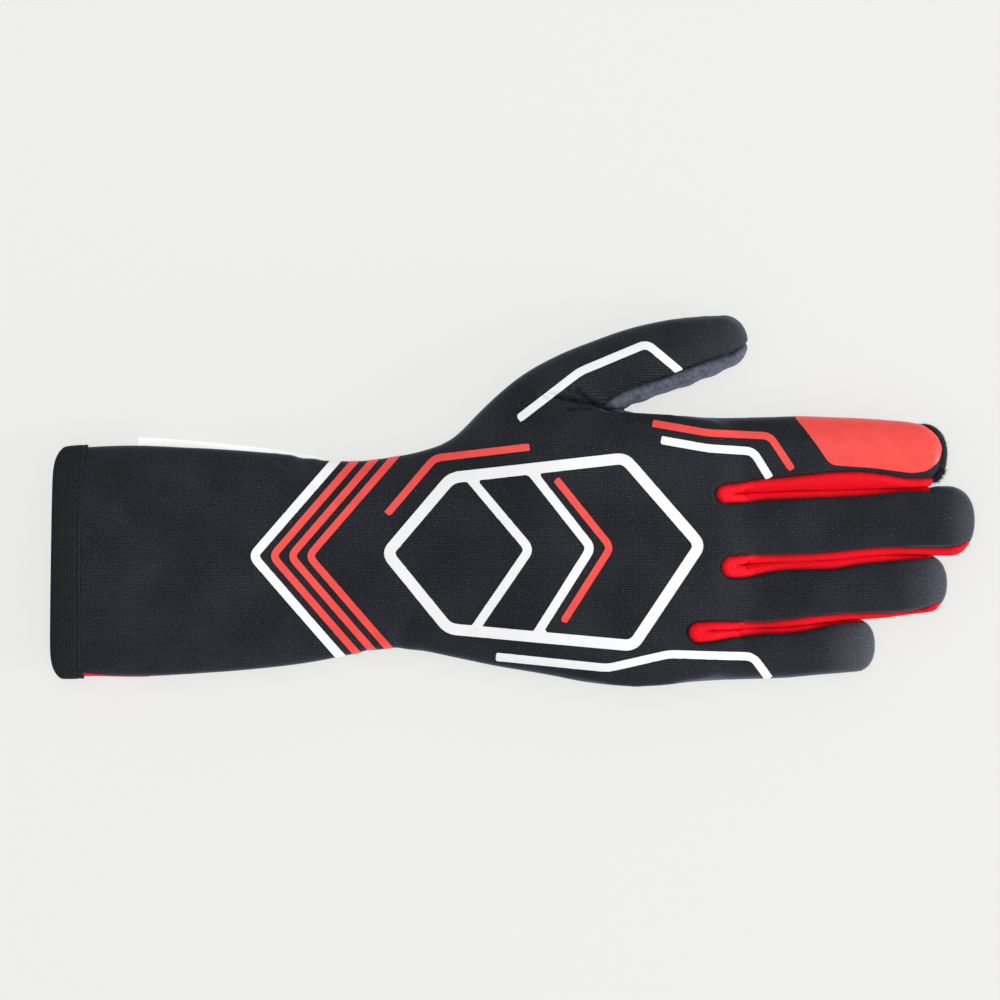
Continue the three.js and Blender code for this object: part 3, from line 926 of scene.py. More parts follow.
KNIT = Knit("knit_black", "knit_black")
SUEDE = Suede("suede_charcoal", "suede_charcoal")
DARK_SUEDE = Suede(
    "suede_dark", "suede_charcoal", (0.008, 0.009, 0.012), (0.034, 0.037, 0.046), 0.02)
STRETCH = Stretch("stretch_red", "stretch_red")
TAPE = Tape("binding_black", "binding_black")
WHITE_INK = Ink("print_white", "print_white", (0.93, 0.93, 0.93), (0.84, 0.84, 0.85))
RED_INK = Ink("print_red", "print_red", (0.90, 0.070, 0.058), (0.78, 0.050, 0.042), 0.42)
THREAD = Thread("thread_black", "binding_black")
PALE_FIBRE = Thread("thread_pale", "knit_black", (0.05, 0.058, 0.075), (0.16, 0.18, 0.22))
SATIN = Satin("label_white", "label_white")
PAPER = Paper("pale_sweep", "")  # the floor has no slot


# ---------------------------------------------------------------- the glove's form


def read_sections(rows: Rows, share: np.ndarray) -> list[np.ndarray]:
    """Reads the measures in a table of sections at each share of its length."""
    table = np.array(rows).T
    return [smooth_rows(table[0], column, share) for column in table[1:]]


def rounded_field(
    across: np.ndarray,
    z: np.ndarray,
    onward: np.ndarray,
    half: np.ndarray,
    height: np.ndarray,
    dome: float,
    roundness: float,
) -> np.ndarray:
    """Near-distance to a form of rounded sections that ends in a dome.

    Args:
        across: Distance sideways from the section's middle.
        z: Height above the floor.
        onward: Distance past the last full section.
        half: The section's half width.
        height: The section's height.
        dome: The dome's length.
        roundness: The sections' exponent, where 2 is an ellipse.

    Returns:
        The distance, negative inside.
    """
    up = z - BELLY * height
    reach = np.where(up > 0, (1 - BELLY) * height, BELLY * UNDERSIDE * height)
    n = roundness
    u = (np.abs(across) / half) ** (n - 1)
    w = (np.abs(up) / reach) ** (n - 1)
    v = (np.maximum(onward, 0.0) / dome) ** (n - 1)
    power = u * np.abs(across) / half + w * np.abs(up) / reach + v * np.maximum(onward, 0) / dome
    r = np.maximum(power, 1e-9) ** (1 / n)
    slope = np.sqrt((u / half) ** 2 + (w / reach) ** 2 + (v / dome) ** 2) * r ** (1 - n)
    return (r - 1) / np.maximum(slope, 0.5 / np.max(half))


@dataclass(frozen=True)
class Hand:
    """Cuff, wrist and palm as one form of sections across the hand."""

    roundness: float = 2.5
    dome: float = 17.0
    last: float = 0.95
    mouth_bow: float = 3.0
    mouth_slant: float = 0.6
    bow_length: float = 11.0
    # along the hand, thumb-side edge and little-side edge in knuckle widths, height in palm heights
    rows: Rows = (
        (0.0, 0.42, -0.43, 0.76),
        (0.05, 0.43, -0.43, 0.76),
        (0.15, 0.433, -0.43, 0.76),
        (0.25, 0.42, -0.415, 0.76),
        (0.33, 0.403, -0.395, 0.75),
        (0.4, 0.38, -0.368, 0.74),
        (0.46, 0.377, -0.34, 0.75),
        (0.5, 0.388, -0.326, 0.78),
        (0.55, 0.413, -0.332, 0.82),
        (0.6, 0.46, -0.36, 0.87),
        (0.65, 0.53, -0.387, 0.92),
        (0.7, 0.59, -0.41, 0.97),
        (0.75, 0.612, -0.43, 1.0),
        (0.8, 0.593, -0.45, 1.0),
        (0.85, 0.56, -0.463, 0.98),
        (0.9, 0.548, -0.462, 0.94),
        (0.95, 0.54, -0.45, 0.88),
    )

    def section(self, forward: np.ndarray) -> Sections:
        """The middle, half width and height of the section at each place forward.

        Args:
            forward: Places along the glove.

        Returns:
            The three measures at each place.
        """
        thumb, little, height = read_sections(self.rows, forward / HAND_LENGTH)
        thumb, little = thumb * KNUCKLE_WIDTH, little * KNUCKLE_WIDTH
        return (thumb + little) / 2, (thumb - little) / 2, height * PALM_HEIGHT

    def distance(self, x: np.ndarray, y: np.ndarray, z: np.ndarray) -> np.ndarray:
        """The form's field at the places of three arrays that spread against each other.

        Args:
            x: Places forward.
            y: Places across.
            z: Heights above the floor.

        Returns:
            The distance, negative inside.
        """
        middle, half, height = self.section(x)
        onward = x - self.last * HAND_LENGTH
        return rounded_field(y - middle, z, onward, half, height, self.dome, self.roundness)

    def ring(self, forward: float, inset: float, angles: np.ndarray) -> Points:
        """Points round the section at one place, as the solids' rings have them.

        Args:
            forward: Where the ring lies.
            inset: How far inside the form it runs.
            angles: Each point's angle round the section.

        Returns:
            The ring's points.
        """
        middle, half, height = (each[0] for each in self.section(np.array([forward])))
        power = 2 / self.roundness
        cosine, sine = np.cos(angles), np.sin(angles)
        across = np.sign(cosine) * np.abs(cosine) ** power
        up = np.sign(sine) * np.abs(sine) ** power
        belly = BELLY * height
        reach = np.where(up > 0, height - belly, belly * UNDERSIDE) - inset
        z = np.maximum(belly + up * reach, max(inset, 0.0))
        bow = self.mouth_bow * max(0.0, 1 - max(0.0, forward) / self.bow_length)
        x = forward + bow * across**14 + self.mouth_slant * (1 + across)
        return np.stack([x, middle + across * (half - inset), z], axis=1)


@dataclass(frozen=True)
class Finger:
    """One finger, a form of sections along a nearly straight line."""

    length: float
    width: float
    height: float
    # along the finger, middle in knuckle widths, half width and height in the finger's own
    rows: Rows
    roundness: float = 2.25
    tip_share: float = 0.4
    root_dome: float = 14.0

    @property
    def tip(self) -> float:
        """How far forward the fingertip reaches."""
        return FINGER_ROOT + self.length

    @property
    def last(self) -> float:
        """Where the fingertip's dome begins."""
        return self.tip - self.tip_share * self.width

    def section(self, forward: np.ndarray) -> Sections:
        """The middle, half width and height of the section at each place forward.

        Args:
            forward: Places along the glove.

        Returns:
            The three measures at each place.
        """
        share = (forward - FINGER_ROOT) / self.length
        middle, half, height = read_sections(self.rows, share)
        return middle * KNUCKLE_WIDTH, half * self.width, height * self.height

    def recess(self, forward: np.ndarray, most: float = 2.5) -> np.ndarray:
        """How far the tip's dome has drawn a side in at each place, up to a most.

        Args:
            forward: Places along the glove.
            most: The most that counts.

        Returns:
            The recess at each place.
        """
        share = np.clip((forward - self.last) / (self.tip_share * self.width), 0.0, 1.0)
        left = (1 - share**self.roundness) ** (1 / self.roundness)
        return np.minimum(self.section(forward)[1] * (1 - left), most)

    def distance(self, x: np.ndarray, y: np.ndarray, z: np.ndarray) -> np.ndarray:
        """The form's field at the places of three arrays that spread against each other.

        Args:
            x: Places forward.
            y: Places across.
            z: Heights above the floor.

        Returns:
            The distance, negative inside.
        """
        middle, half, height = self.section(x)
        dome = self.tip_share * self.width
        onward = np.maximum(x - self.last, (FINGER_ROOT - x) * dome / self.root_dome)
        return rounded_field(y - middle, z, onward, half, height, dome, self.roundness)


INDEX = Finger(
    110.0, 27.2, 17.5,
    (
        (0.0, 0.39, 0.53, 1.04),
        (0.26, 0.395, 0.51, 1.02),
        (0.39, 0.4, 0.505, 1.0),
        (0.52, 0.404, 0.495, 1.0),
        (0.65, 0.402, 0.478, 0.97),
        (0.78, 0.4, 0.455, 0.93),
        (0.9, 0.398, 0.43, 0.86),
    ),
)
MIDDLE = Finger(
    120.0, 25.4, 17.5,
    (
        (0.0, 0.113, 0.53, 1.04),
        (0.24, 0.115, 0.52, 1.02),
        (0.36, 0.126, 0.5, 1.0),
        (0.48, 0.132, 0.5, 1.0),
        (0.6, 0.138, 0.492, 0.97),
        (0.72, 0.148, 0.475, 0.94),
        (0.82, 0.152, 0.48, 0.91),
        (0.915, 0.152, 0.49, 0.86),
    ),
)
RING = Finger(
    110.0, 23.2, 16.5,
    (
        (0.0, -0.138, 0.5, 1.04),
        (0.26, -0.136, 0.5, 1.02),
        (0.39, -0.127, 0.51, 1.0),
        (0.52, -0.119, 0.5, 1.0),
        (0.65, -0.104, 0.478, 0.97),
        (0.78, -0.092, 0.49, 0.93),
        (0.915, -0.082, 0.455, 0.86),
    ),
)
LITTLE = Finger(
    84.0, 18.4, 15.0,
    (
        (0.0, -0.356, 0.54, 1.04),
        (0.25, -0.352, 0.5, 1.02),
        (0.42, -0.345, 0.5, 1.0),
        (0.6, -0.341, 0.505, 0.98),
        (0.78, -0.325, 0.52, 0.94),
        (0.92, -0.314, 0.515, 0.86),
    ),
)


@dataclass(frozen=True)
class Thumb:
    """The thumb, a form of sections along a bent line."""

    reach: float = 99.0
    width: float = 27.0
    height: float = 17.5
    tip: float = 9.0
    root: Pair = (150.0, 33.5)
    roundness: float = 2.25
    # forward and across in reaches from the root, half width and height in the thumb's own
    rows: Rows = (
        (0.0, 0.0, 0.4, 0.9),
        (0.13, 0.115, 0.47, 0.98),
        (0.26, 0.215, 0.5, 1.0),
        (0.385, 0.285, 0.505, 1.0),
        (0.51, 0.34, 0.49, 1.0),
        (0.635, 0.385, 0.48, 0.97),
        (0.765, 0.42, 0.455, 0.93),
        (0.855, 0.443, 0.415, 0.88),
        (0.925, 0.46, 0.36, 0.82),
    )

    def path(self, steps: int = 121) -> tuple[Points, np.ndarray, np.ndarray]:
        """The middle line in plan, with the half width and the height along it.

        Args:
            steps: How many points it has.

        Returns:
            The line, the half widths and the heights.
        """
        table = np.array(self.rows).T
        stops = np.arange(len(self.rows), dtype=float)
        places = np.linspace(0, stops[-1], steps)
        forward, across, half, height = (
            smooth_rows(stops, column, places) for column in table)
        line = np.stack([forward, across], axis=1) * self.reach + np.array(self.root)
        return line, half * self.width, height * self.height

    def distance(self, x: np.ndarray, y: np.ndarray, z: np.ndarray) -> np.ndarray:
        """The form's field; x and y have one value for each column, and z runs up.

        Args:
            x: Places forward.
            y: Places across.
            z: Heights above the floor.

        Returns:
            The distance, negative inside.
        """
        line, halves, heights = self.path()
        shape = np.broadcast_shapes(x.shape, y.shape)
        plan = np.stack([np.broadcast_to(x, shape).ravel(), np.broadcast_to(y, shape).ravel()], 1)
        tree = ((plan[:, None, :] - line[None, ::2, :]) ** 2).sum(axis=2)
        near = 2 * tree.argmin(axis=1)
        inner = np.clip(near, 1, len(line) - 2)
        step = (line[inner + 1] - line[inner - 1]) / 2
        spacing = np.linalg.norm(step, axis=1)
        heading = step / spacing[:, None]
        gap = plan - line[near]
        ahead = (gap * heading).sum(axis=1)
        aside = gap[:, 1] * heading[:, 0] - gap[:, 0] * heading[:, 1]
        place = near + ahead / spacing
        past = (place - (len(line) - 1)) * spacing
        before = -place * spacing * self.tip / 12.0
        onward = np.maximum(past, before).reshape(shape)
        stops = np.arange(len(line))
        half = np.interp(place, stops, halves).reshape(shape)
        height = np.interp(place, stops, heights).reshape(shape)
        return rounded_field(
            aside.reshape(shape), z, onward, half, height, self.tip, self.roundness)


@dataclass(frozen=True)
class Fold:
    """The crevice between two neighbouring fingers and the red strip that lines it."""

    name: str
    upper: Finger
    lower: Finger
    crotch: float
    # the strip's edges as seen from above: (forward, across) on the thumb's side and the other
    thumb_edge: Line
    little_edge: Line
    thumb_end: float
    little_end: float
    gap: float = -0.1  # left between the two fingers; below 0 they press together
    spread: float = 3.6  # how wide the crevice is held open while the cloth is made
    ramp: float = 7.0  # over what length it opens
    puff: float = 0.9  # how far the strip stands proud
    dip: float = 0.5  # how wide the line down its middle is

    def place(self, forward: np.ndarray) -> np.ndarray:
        """Where the crevice lies across the hand.

        Args:
            forward: Places along the glove.

        Returns:
            The place across at each.
        """
        high, half_high, _ = self.upper.section(forward)
        low, half_low, _ = self.lower.section(forward)
        contact = (high - half_high + low + half_low) / 2
        return contact + (self.upper.recess(forward) - self.lower.recess(forward)) / 2

    def opening(self, forward: np.ndarray) -> np.ndarray:
        """How wide the crevice is held open while the cloth is made."""
        return self.spread * soft_step(forward, self.crotch, self.crotch + self.ramp)

    def edges(self, forward: np.ndarray) -> tuple[np.ndarray, np.ndarray]:
        """The strip's two edges at each place forward."""
        thumb, little = np.array(self.thumb_edge).T, np.array(self.little_edge).T
        return smooth_rows(thumb[0], thumb[1], forward), smooth_rows(little[0], little[1], forward)

    def strip(self, plan: Points, facing: np.ndarray) -> np.ndarray:
        """Near-distance in plan to the strip's edge, negative on the strip.

        Args:
            plan: The places.
            facing: How much the cloth there faces the thumb's side.

        Returns:
            The distance at each place.
        """
        x, y = plan.T
        thumb, little = self.edges(x)
        start = self.thumb_edge[0][0]
        high, low = (each[0] for each in self.edges(np.array([start])))
        radius, middle = (high - low) / 2, (high + low) / 2
        fold = self.place(x)
        on_thumb_side = np.maximum(y - thumb, x - self.thumb_end)
        on_little_side = np.maximum(little - y, x - self.little_end)
        beside = np.where(y - fold > 1.5 * facing, on_thumb_side, on_little_side)
        bulb = np.hypot(np.minimum(x - start, 0.0), y - middle) - radius
        return np.where(x < start, bulb, beside)


FOLDS = (
    Fold(
        "fourchette_index_middle", INDEX, MIDDLE, HAND_LENGTH + 0.5,
        ((242.0, 27.5), (246.0, 27.9), (255.8, 29.3), (264.1, 30.1), (272.7, 31.1), (281.0, 31.9),
         (289.6, 32.0), (298.3, 31.2), (306.5, 29.7), (317.0, 29.5)),
        ((242.0, 21.1), (246.0, 21.2), (255.8, 22.4), (268.4, 23.0), (281.0, 23.5), (289.6, 23.9),
         (298.3, 24.7), (306.5, 25.6), (316.0, 25.6)),
        317.2, 315.9,
    ),
    Fold(
        "fourchette_middle_ring", MIDDLE, RING, HAND_LENGTH + 2.0,
        ((244.4, 1.8), (249.0, 2.1), (255.1, 2.1), (262.3, 2.1), (271.3, 2.4), (280.6, 3.1),
         (289.6, 4.0), (299.0, 4.7), (308.0, 4.7), (315.2, 4.6), (322.0, 4.8), (326.7, 5.6),
         (331.0, 7.8)),
        ((244.4, -5.7), (249.0, -5.5), (255.1, -4.1), (262.3, -2.9), (271.3, -2.5), (281.3, -2.2),
         (289.6, -0.8), (299.0, 0.3), (308.0, 1.1), (315.2, 1.8)),
        340.0, 316.5,
    ),
    Fold(
        "fourchette_ring_little", RING, LITTLE, HAND_LENGTH - 9.0,
        ((232.5, -21.7), (237.0, -21.5), (244.0, -21.7), (256.1, -22.1), (262.3, -21.4),
         (271.3, -20.2), (280.6, -19.3), (294.3, -18.8), (305.8, -18.6), (312.7, -17.4),
         (320.0, -14.7)),
        ((232.5, -29.1), (237.0, -28.6), (244.0, -27.3), (256.1, -25.5), (262.3, -25.4),
         (271.3, -24.3), (280.6, -22.3), (285.3, -21.6), (292.0, -21.2)),
        340.0, 292.6,
    ),
)


@dataclass(frozen=True)
class Crease:
    """A soft groove in the cloth along a line, with a low swell beside it."""

    line: Line
    depth: float
    width: float
    shade: float = 0.0

    def away(self, plan: Points) -> np.ndarray:
        """Distance in plan to the crease."""
        return line_distance(plan, rounded_line(np.array(self.line), 3.0))

    def lift(self, plan: Points) -> np.ndarray:
        """How far the cloth stands off its form at each place."""
        away = self.away(plan) / self.width
        return self.depth * (0.35 * hump(away - 1.9) - hump(away))


CREASES = (
    Crease(((177.0, 60.0), (181.7, 59.0), (189.2, 57.5), (193.4, 56.9), (197.0, 55.9),
            (200.5, 55.0)), 1.5, 1.2, 0.9),
    Crease(((188.8, 61.6), (192.0, 58.8), (195.5, 56.7)), 0.7, 0.9, 0.5),
    Crease(((185.0, 62.0), (188.5, 60.2), (191.0, 58.6)), 0.4, 0.9, 0.3),
    Crease(((84.0, 35.5), (91.0, 29.0), (95.5, 23.0)), 0.3, 2.0),
    Crease(((90.0, 37.0), (98.0, 29.5), (103.0, 22.0)), 0.38, 2.2),
    Crease(((98.0, 36.0), (105.0, 29.0), (109.0, 22.5)), 0.3, 2.2),
    Crease(((112.0, -37.0), (115.0, -31.0), (116.5, -25.0)), 0.35, 2.4),
    Crease(((122.0, -33.5), (126.0, -28.0), (128.5, -20.0)), 0.3, 2.6),
)
SHARP_CREASES = tuple(crease for crease in CREASES if crease.shade > 0)


@dataclass
class Form:
    """The whole glove as one skin, before it is cut into panels."""

    pitch: float = 1.05
    hand: Hand = field(default_factory=Hand)
    thumb: Thumb = field(default_factory=Thumb)
    fingers: tuple[Finger, ...] = (INDEX, MIDDLE, RING, LITTLE)
    hand_fillet: float = 9.0
    finger_fillet: float = 3.0
    thumb_fillet: float = 3.5
    floor_fillet: float = 1.2
    knuckle_fillet: Pair = (11.5, 16.0)  # heights between which it grows
    evening: int = 20
    # where the forms are worked out: forward, across and up
    room: Line = ((-4.0, 337.0), (-53.0, 97.0), (-2.2, PALM_HEIGHT + 5.0))
    finger_start: float = FINGER_ROOT - 30.0
    crotch: Pair = (HAND_LENGTH + 6.0, HAND_LENGTH + 16.0)  # the fingers' fillet fades between
    knuckles: tuple[Pair, Pair] = ((222.0, 230.0), (256.0, 266.0))  # evening grows, then fades
    evenness: float = 0.6
    # where the thumb reaches: forward, and how far towards the hand's middle
    thumb_room: Pair = (140.0, 262.0)
    thumb_side: float = 10.0

    def spread(self, x: np.ndarray, y: np.ndarray) -> tuple[np.ndarray, np.ndarray]:
        """Closes the held-open crevices.

        Args:
            x: Places forward.
            y: Places across, with the crevices open.

        Returns:
            The places across with the crevices closed, and the near-distance to the crevices'
            walls, positive in a crevice.
        """
        shift = np.zeros(np.broadcast_shapes(x.shape, y.shape))
        crevice = np.full(shift.shape, -FAR_FIELD)
        places = [fold.place(x) for fold in FOLDS]
        for index, fold in enumerate(FOLDS):
            middle = places[index] + sum(
                (0.5 if other > index else -0.5) * each.opening(x)
                for other, each in enumerate(FOLDS)
                if other != index
            )
            half = fold.opening(x) / 2
            shift += np.clip((y - middle) / np.maximum(half, 1e-6), -1.0, 1.0) * half
            wall = np.where(half > 1e-3, half - np.abs(y - middle), -FAR_FIELD)
            crevice = np.maximum(crevice, wall)
        return y - shift, crevice

    def lift(self, points: Points) -> np.ndarray:
        """Slack and creases of the cloth on its upper side.

        Args:
            points: The cloth's points.

        Returns:
            How far each stands off the form.
        """
        x, y, z = points.T
        slack = (
            0.22 * np.sin(x / 19.0 + 0.6 * np.sin(y / 17.0)) * np.sin(y / 15.0 + 1.3)
            + 0.10 * np.sin(x / 8.3 + y / 11.0 + 0.5)
            + 0.07 * np.sin(x / 5.1 - y / 6.7 + 2.1)
        )
        plan = points[:, :2]
        soft = [crease for crease in CREASES if crease.shade == 0]
        total = slack + sum(crease.lift(plan) for crease in soft)
        return total * soft_step(z, *UPPER_SIDE)

    def skin(self) -> Cloth:
        """The outer skin of the whole glove.

        Returns:
            The skin, with its outward directions noted.
        """
        xs, ys, zs = (np.arange(low, high, self.pitch) for low, high in self.room)
        x, z = xs[:, None, None], zs[None, None, :]
        closed, crevice = self.spread(xs[:, None], ys[None, :])
        y = closed[:, :, None]
        body = self.hand.distance(x, y, z)
        thumbs = np.full(body.shape, FAR_FIELD)
        span = slice(*np.searchsorted(xs, self.thumb_room))
        side = slice(np.searchsorted(ys, self.thumb_side), len(ys))
        thumbs[span, side] = self.thumb.distance(x[span], y[span, side], z)
        body = soft_least(body, thumbs, self.thumb_fillet)
        forward = slice(np.searchsorted(xs, self.finger_start), len(xs))
        fingers = np.full(body[forward].shape, FAR_FIELD)
        crotch = 1.02 - soft_step(x[forward], *self.crotch)
        for finger in self.fingers:
            each = finger.distance(x[forward], y[forward], z)
            fingers = soft_least(fingers, each, self.finger_fillet * crotch)
        knuckle = 0.1 + soft_step(z, *self.knuckle_fillet)
        body[forward] = soft_least(body[forward], fingers, self.hand_fillet * knuckle)
        body = -soft_least(-body, z + np.zeros_like(body), self.floor_fillet)
        body = np.maximum(body, crevice[:, :, None])
        grid = openvdb.FloatGrid(FAR_FIELD)
        grid.copyFromArray(np.ascontiguousarray(body, dtype=np.float32))
        raw, triangles, quads = grid.convertToPolygons(0.0, 0.0)
        halves = [triangles, quads[:, [0, 1, 2]], quads[:, [0, 2, 3]]]
        cloth = Cloth(
            raw.astype(float) * self.pitch + np.array([xs[0], ys[0], zs[0]]),
            np.concatenate(halves).astype(np.int64),
        )
        cloth.face_outward()
        cloth = cloth.part(cloth.largest())
        cloth.points[:, 1], _ = self.spread(cloth.points[:, 0], cloth.points[:, 1])
        for fold in FOLDS:
            self.part_fingers(cloth, fold)
        self.even_knuckles(cloth)
        cloth.note_outward()
        cloth = cloth.moved(self.lift(cloth.points))
        cloth.note_outward()
        return cloth

    def even_knuckles(self, cloth: Cloth) -> None:
        """Evens the cloth out where the hand's form goes over into the fingers'.

        Args:
            cloth: The skin, whose points are moved.
        """
        x, y, z = cloth.points.T
        from_fold = np.minimum.reduce([
            np.abs(y - fold.place(x)) + 8.0 * (x < fold.crotch - 6.0) for fold in FOLDS])
        rise, fall = self.knuckles
        share = soft_step(x, *rise) * (1 - soft_step(x, *fall))
        share = self.evenness * share * soft_step(z, 5.0, 8.0) * soft_step(from_fold, 4.0, 7.0)
        edges = cloth.edges()
        first, second = edges[share[edges[:, 0]] > 0].T
        count = len(x)
        beside = np.maximum(np.bincount(first, minlength=count), 1)
        for _ in range(self.evening):
            for axis in range(3):
                value = cloth.points[:, axis]
                mean = np.bincount(first, value[second], minlength=count) / beside
                cloth.points[:, axis] = value + share * (mean - value)

    def part_fingers(self, cloth: Cloth, fold: Fold) -> None:
        """Presses two neighbouring fingers together.

        Args:
            cloth: The skin, whose points are moved.
            fold: The crevice between the two.
        """
        x, y, _ = cloth.points.T
        away = y - fold.place(x)
        near = np.abs(away) < fold.spread
        step = fold.gap * soft_step(x, fold.crotch, fold.crotch + fold.ramp)
        cloth.points[:, 1] += np.where(near, np.sign(away) * step, 0.0)


# ---------------------------------------------------------------- panels


@dataclass
class Panels:
    """Cuts the skin along its seams and shapes the cloth beside them."""

    form: Form = field(default_factory=Form)
    mouth_cut: float = 3.0
    # seam of the thumb's suede on the back, as seen from above
    thumb_seam: Line = (
        (196.0, 54.4), (198.2, 56.2), (204.7, 60.4), (212.2, 63.2), (219.4, 65.5), (229.1, 69.3),
        (237.8, 72.4), (245.3, 74.9), (250.4, 78.1), (256.0, 82.0),
    )
    thumb_suede_start: float = 186.0
    # how strongly the painted sheen shows at each fingertip, and how far back it does
    sheen_tips: tuple[tuple[Finger, float, float], ...] = (
        (MIDDLE, 0.42, 15.0), (RING, 0.65, 20.0), (LITTLE, 0.85, 22.0))
    rim_centre: Pair = (299.5, 38.4)
    rim_half: Pair = (20.8, 13.4)
    rim_roundness: float = 2.3
    # beside a seam: height, distance and width of the low roll; depth and width at the thumb's
    roll: Triple = (0.12, 1.8, 0.9)
    thumb_groove: Pair = (0.3, 1.1)
    gather: float = 0.18
    puff_width: float = 0.9
    crease_width: float = 0.75
    # extra lines of points beside the strips, the thumb's suede and the creases
    strip_lines: tuple[float, ...] = (-1.5, -0.6, 0.6, 1.5)
    suede_lines: Pair = (-0.7, 0.7)
    crease_lines: tuple[float, ...] = (0.4, 0.9, 1.5, 2.2)
    # the parts of the skin where the thumb's seam, a strip and a crease are measured
    thumb_area: Triple = (150.0, 262.0, 20.0)
    strip_area: Pair = (12.0, 14.0)
    crease_floor: float = 6.0
    no_crease: float = 30.0
    # the thumb's own painted sheen: its share, and where it grows forward and across
    thumb_sheen: tuple[float, Pair, Pair] = (0.28, (218.0, 250.0), (62.0, 70.0))
    # the fingertip's corner where the rim has frayed: forward, across and radius
    frayed: Triple = (318.5, 31.0, 3.2)
    skin: Cloth = field(init=False)

    def __post_init__(self) -> None:
        """Makes the skin, marks its seams and cuts it."""
        self.skin = self.form.skin()
        self.mark()
        skin = self.skin
        skin.cut("mouth")
        self.skin = skin = skin.part(skin.over("mouth"))
        for mark in ("height", "cuff", "suede", "rim", *(fold.name for fold in FOLDS)):
            skin.cut(mark)
        beside = {fold.name: self.strip_lines for fold in FOLDS}
        beside |= {"suede": self.suede_lines, "crease": self.crease_lines}
        for mark, levels in beside.items():
            for level in levels:
                skin.cut(mark, level)
        self.shape_seams()

    def mark(self) -> None:
        """Names every point's distance to each seam."""
        skin, hand, thumb = self.skin, self.form.hand, self.form.thumb
        x, y, z = skin.points.T
        marks = skin.marks
        middle, half, _ = hand.section(x)
        bow = np.clip(np.abs(y - middle) / half, 0.0, 1.0) ** 6
        marks["mouth"] = x - self.mouth_cut - hand.mouth_bow * bow
        marks["height"] = z - SEAM_HEIGHT
        marks["cuff"] = x - CUFF_SEAM
        low, high, side = self.thumb_area
        near_thumb = (x > low) & (x < high) & (y > side)

        def beyond_others(near: np.ndarray) -> np.ndarray:
            """How much nearer the thumb's form is than the hand's and the index finger's.

            Args:
                near: Which points are measured.

            Returns:
                The difference at each.
            """
            places = skin.points[near].T
            others = np.minimum(hand.distance(*places), INDEX.distance(*places))
            return others - thumb.distance(*places)

        own = measured(near_thumb, beyond_others, -FAR)
        seam = np.array(self.thumb_seam).T
        below = smooth_rows(seam[0], seam[1], x) - y
        marks["suede"] = np.minimum.reduce(
            [own, np.maximum(below, SEAM_HEIGHT - z), x - self.thumb_suede_start])
        onward = np.maximum(x - self.rim_centre[0], 0.0) / self.rim_half[0]
        aside = np.abs(y - self.rim_centre[1]) / self.rim_half[1]
        power = self.rim_roundness
        rounded = (onward**power + aside**power) ** (1 / power)
        nearer = MIDDLE.distance(x, y, z) - INDEX.distance(x, y, z)
        marks["rim"] = np.minimum.reduce(
            [(rounded - 1) * self.rim_half[1], x - self.rim_centre[0], nearer])
        marks["wale"] = self.wale(x, y, z)
        gaps = [crease.away(skin.plan) for crease in SHARP_CREASES]
        marks["crease"] = np.where(
            z > self.crease_floor, np.minimum.reduce(gaps), self.no_crease)
        behind, beside = self.strip_area
        for fold in FOLDS:
            near = (x > fold.crotch - behind) & (np.abs(y - fold.place(x)) < beside)
            marks[fold.name] = measured(
                near, lambda near: fold.strip(skin.plan[near], skin.outward[near, 1]))
        marks["rim"] = np.minimum(marks["rim"], marks[FOLDS[0].name])

    def wale(self, x: np.ndarray, y: np.ndarray, z: np.ndarray) -> np.ndarray:
        """Distance across the cloth from each form's middle line, measured along the cloth.

        Args:
            x: Places forward.
            y: Places across.
            z: Heights above the floor.

        Returns:
            The distance at each place.
        """
        forms = (self.form.hand, *self.form.fingers)
        nearest = np.argmin([form.distance(x, y, z) for form in forms], axis=0)
        across = np.zeros(len(x))
        for index, form in enumerate(forms):
            middle, half, height = form.section(x)
            side = np.clip((y - middle) / (0.4 * half), -1.0, 1.0)
            drop = np.maximum(height - z, 0.0)
            across = np.where(nearest == index, y + side * drop, across)
        return across

    def shape_seams(self) -> None:
        """Sinks the cloth at every seam, puffs the strips and notes painted shade and painted
        sheen.
        """
        skin = self.skin
        x, y, z = skin.points.T
        marks = skin.marks
        upward = soft_step(skin.outward[:, 2], 0.1, 0.5)
        buried = np.where(z > SEAM_HEIGHT - 1, 3 * (1 - upward), 9.0)
        strips = [np.abs(marks[fold.name]) + buried for fold in FOLDS]
        thumb = np.abs(marks["suede"])
        nearest = np.minimum.reduce([np.abs(marks["height"]), thumb, np.abs(marks["rim"]), *strips])
        lift = -SEAM_DEPTH * hump(nearest, SEAM_SOFTNESS)
        height, beside, width = self.roll
        lift += height * hump(nearest - beside, width)
        depth, width = self.thumb_groove
        lift -= depth * hump(thumb, width)
        gathers = np.sin(x / 2.1 + 0.8 * np.sin(x / 3.7)) + 0.6 * np.sin(x / 1.3 + 1.0)
        lift += self.gather * gathers * soft_step(marks["suede"], 0.6, 2.5)
        # painted shade: darker along every seam, most along the thumb's suede
        dark = hump(nearest, 0.5) + 0.6 * hump(thumb)
        for fold in FOLDS:
            inside = np.maximum(-marks[fold.name], 0.0)
            open_share = soft_step(x, fold.crotch, fold.crotch + 4.0)
            dip = open_share * hump(y - fold.place(x), fold.dip)
            lift += fold.puff * (1 - hump(inside, self.puff_width)) * (1 - dip) * upward
            # painted shade down the middle of each strip, where the fingers press together
            dark += 0.5 * dip * (inside > 0)
        plan, upper = skin.plan, soft_step(z, *UPPER_SIDE)
        for crease in SHARP_CREASES:
            lift += crease.lift(plan) * upper
            # painted shade in the sharp creases' grooves
            dark += crease.shade * upper * hump(crease.away(plan), self.crease_width)
        marks["seam"] = np.clip(dark, 0.0, 1.0)
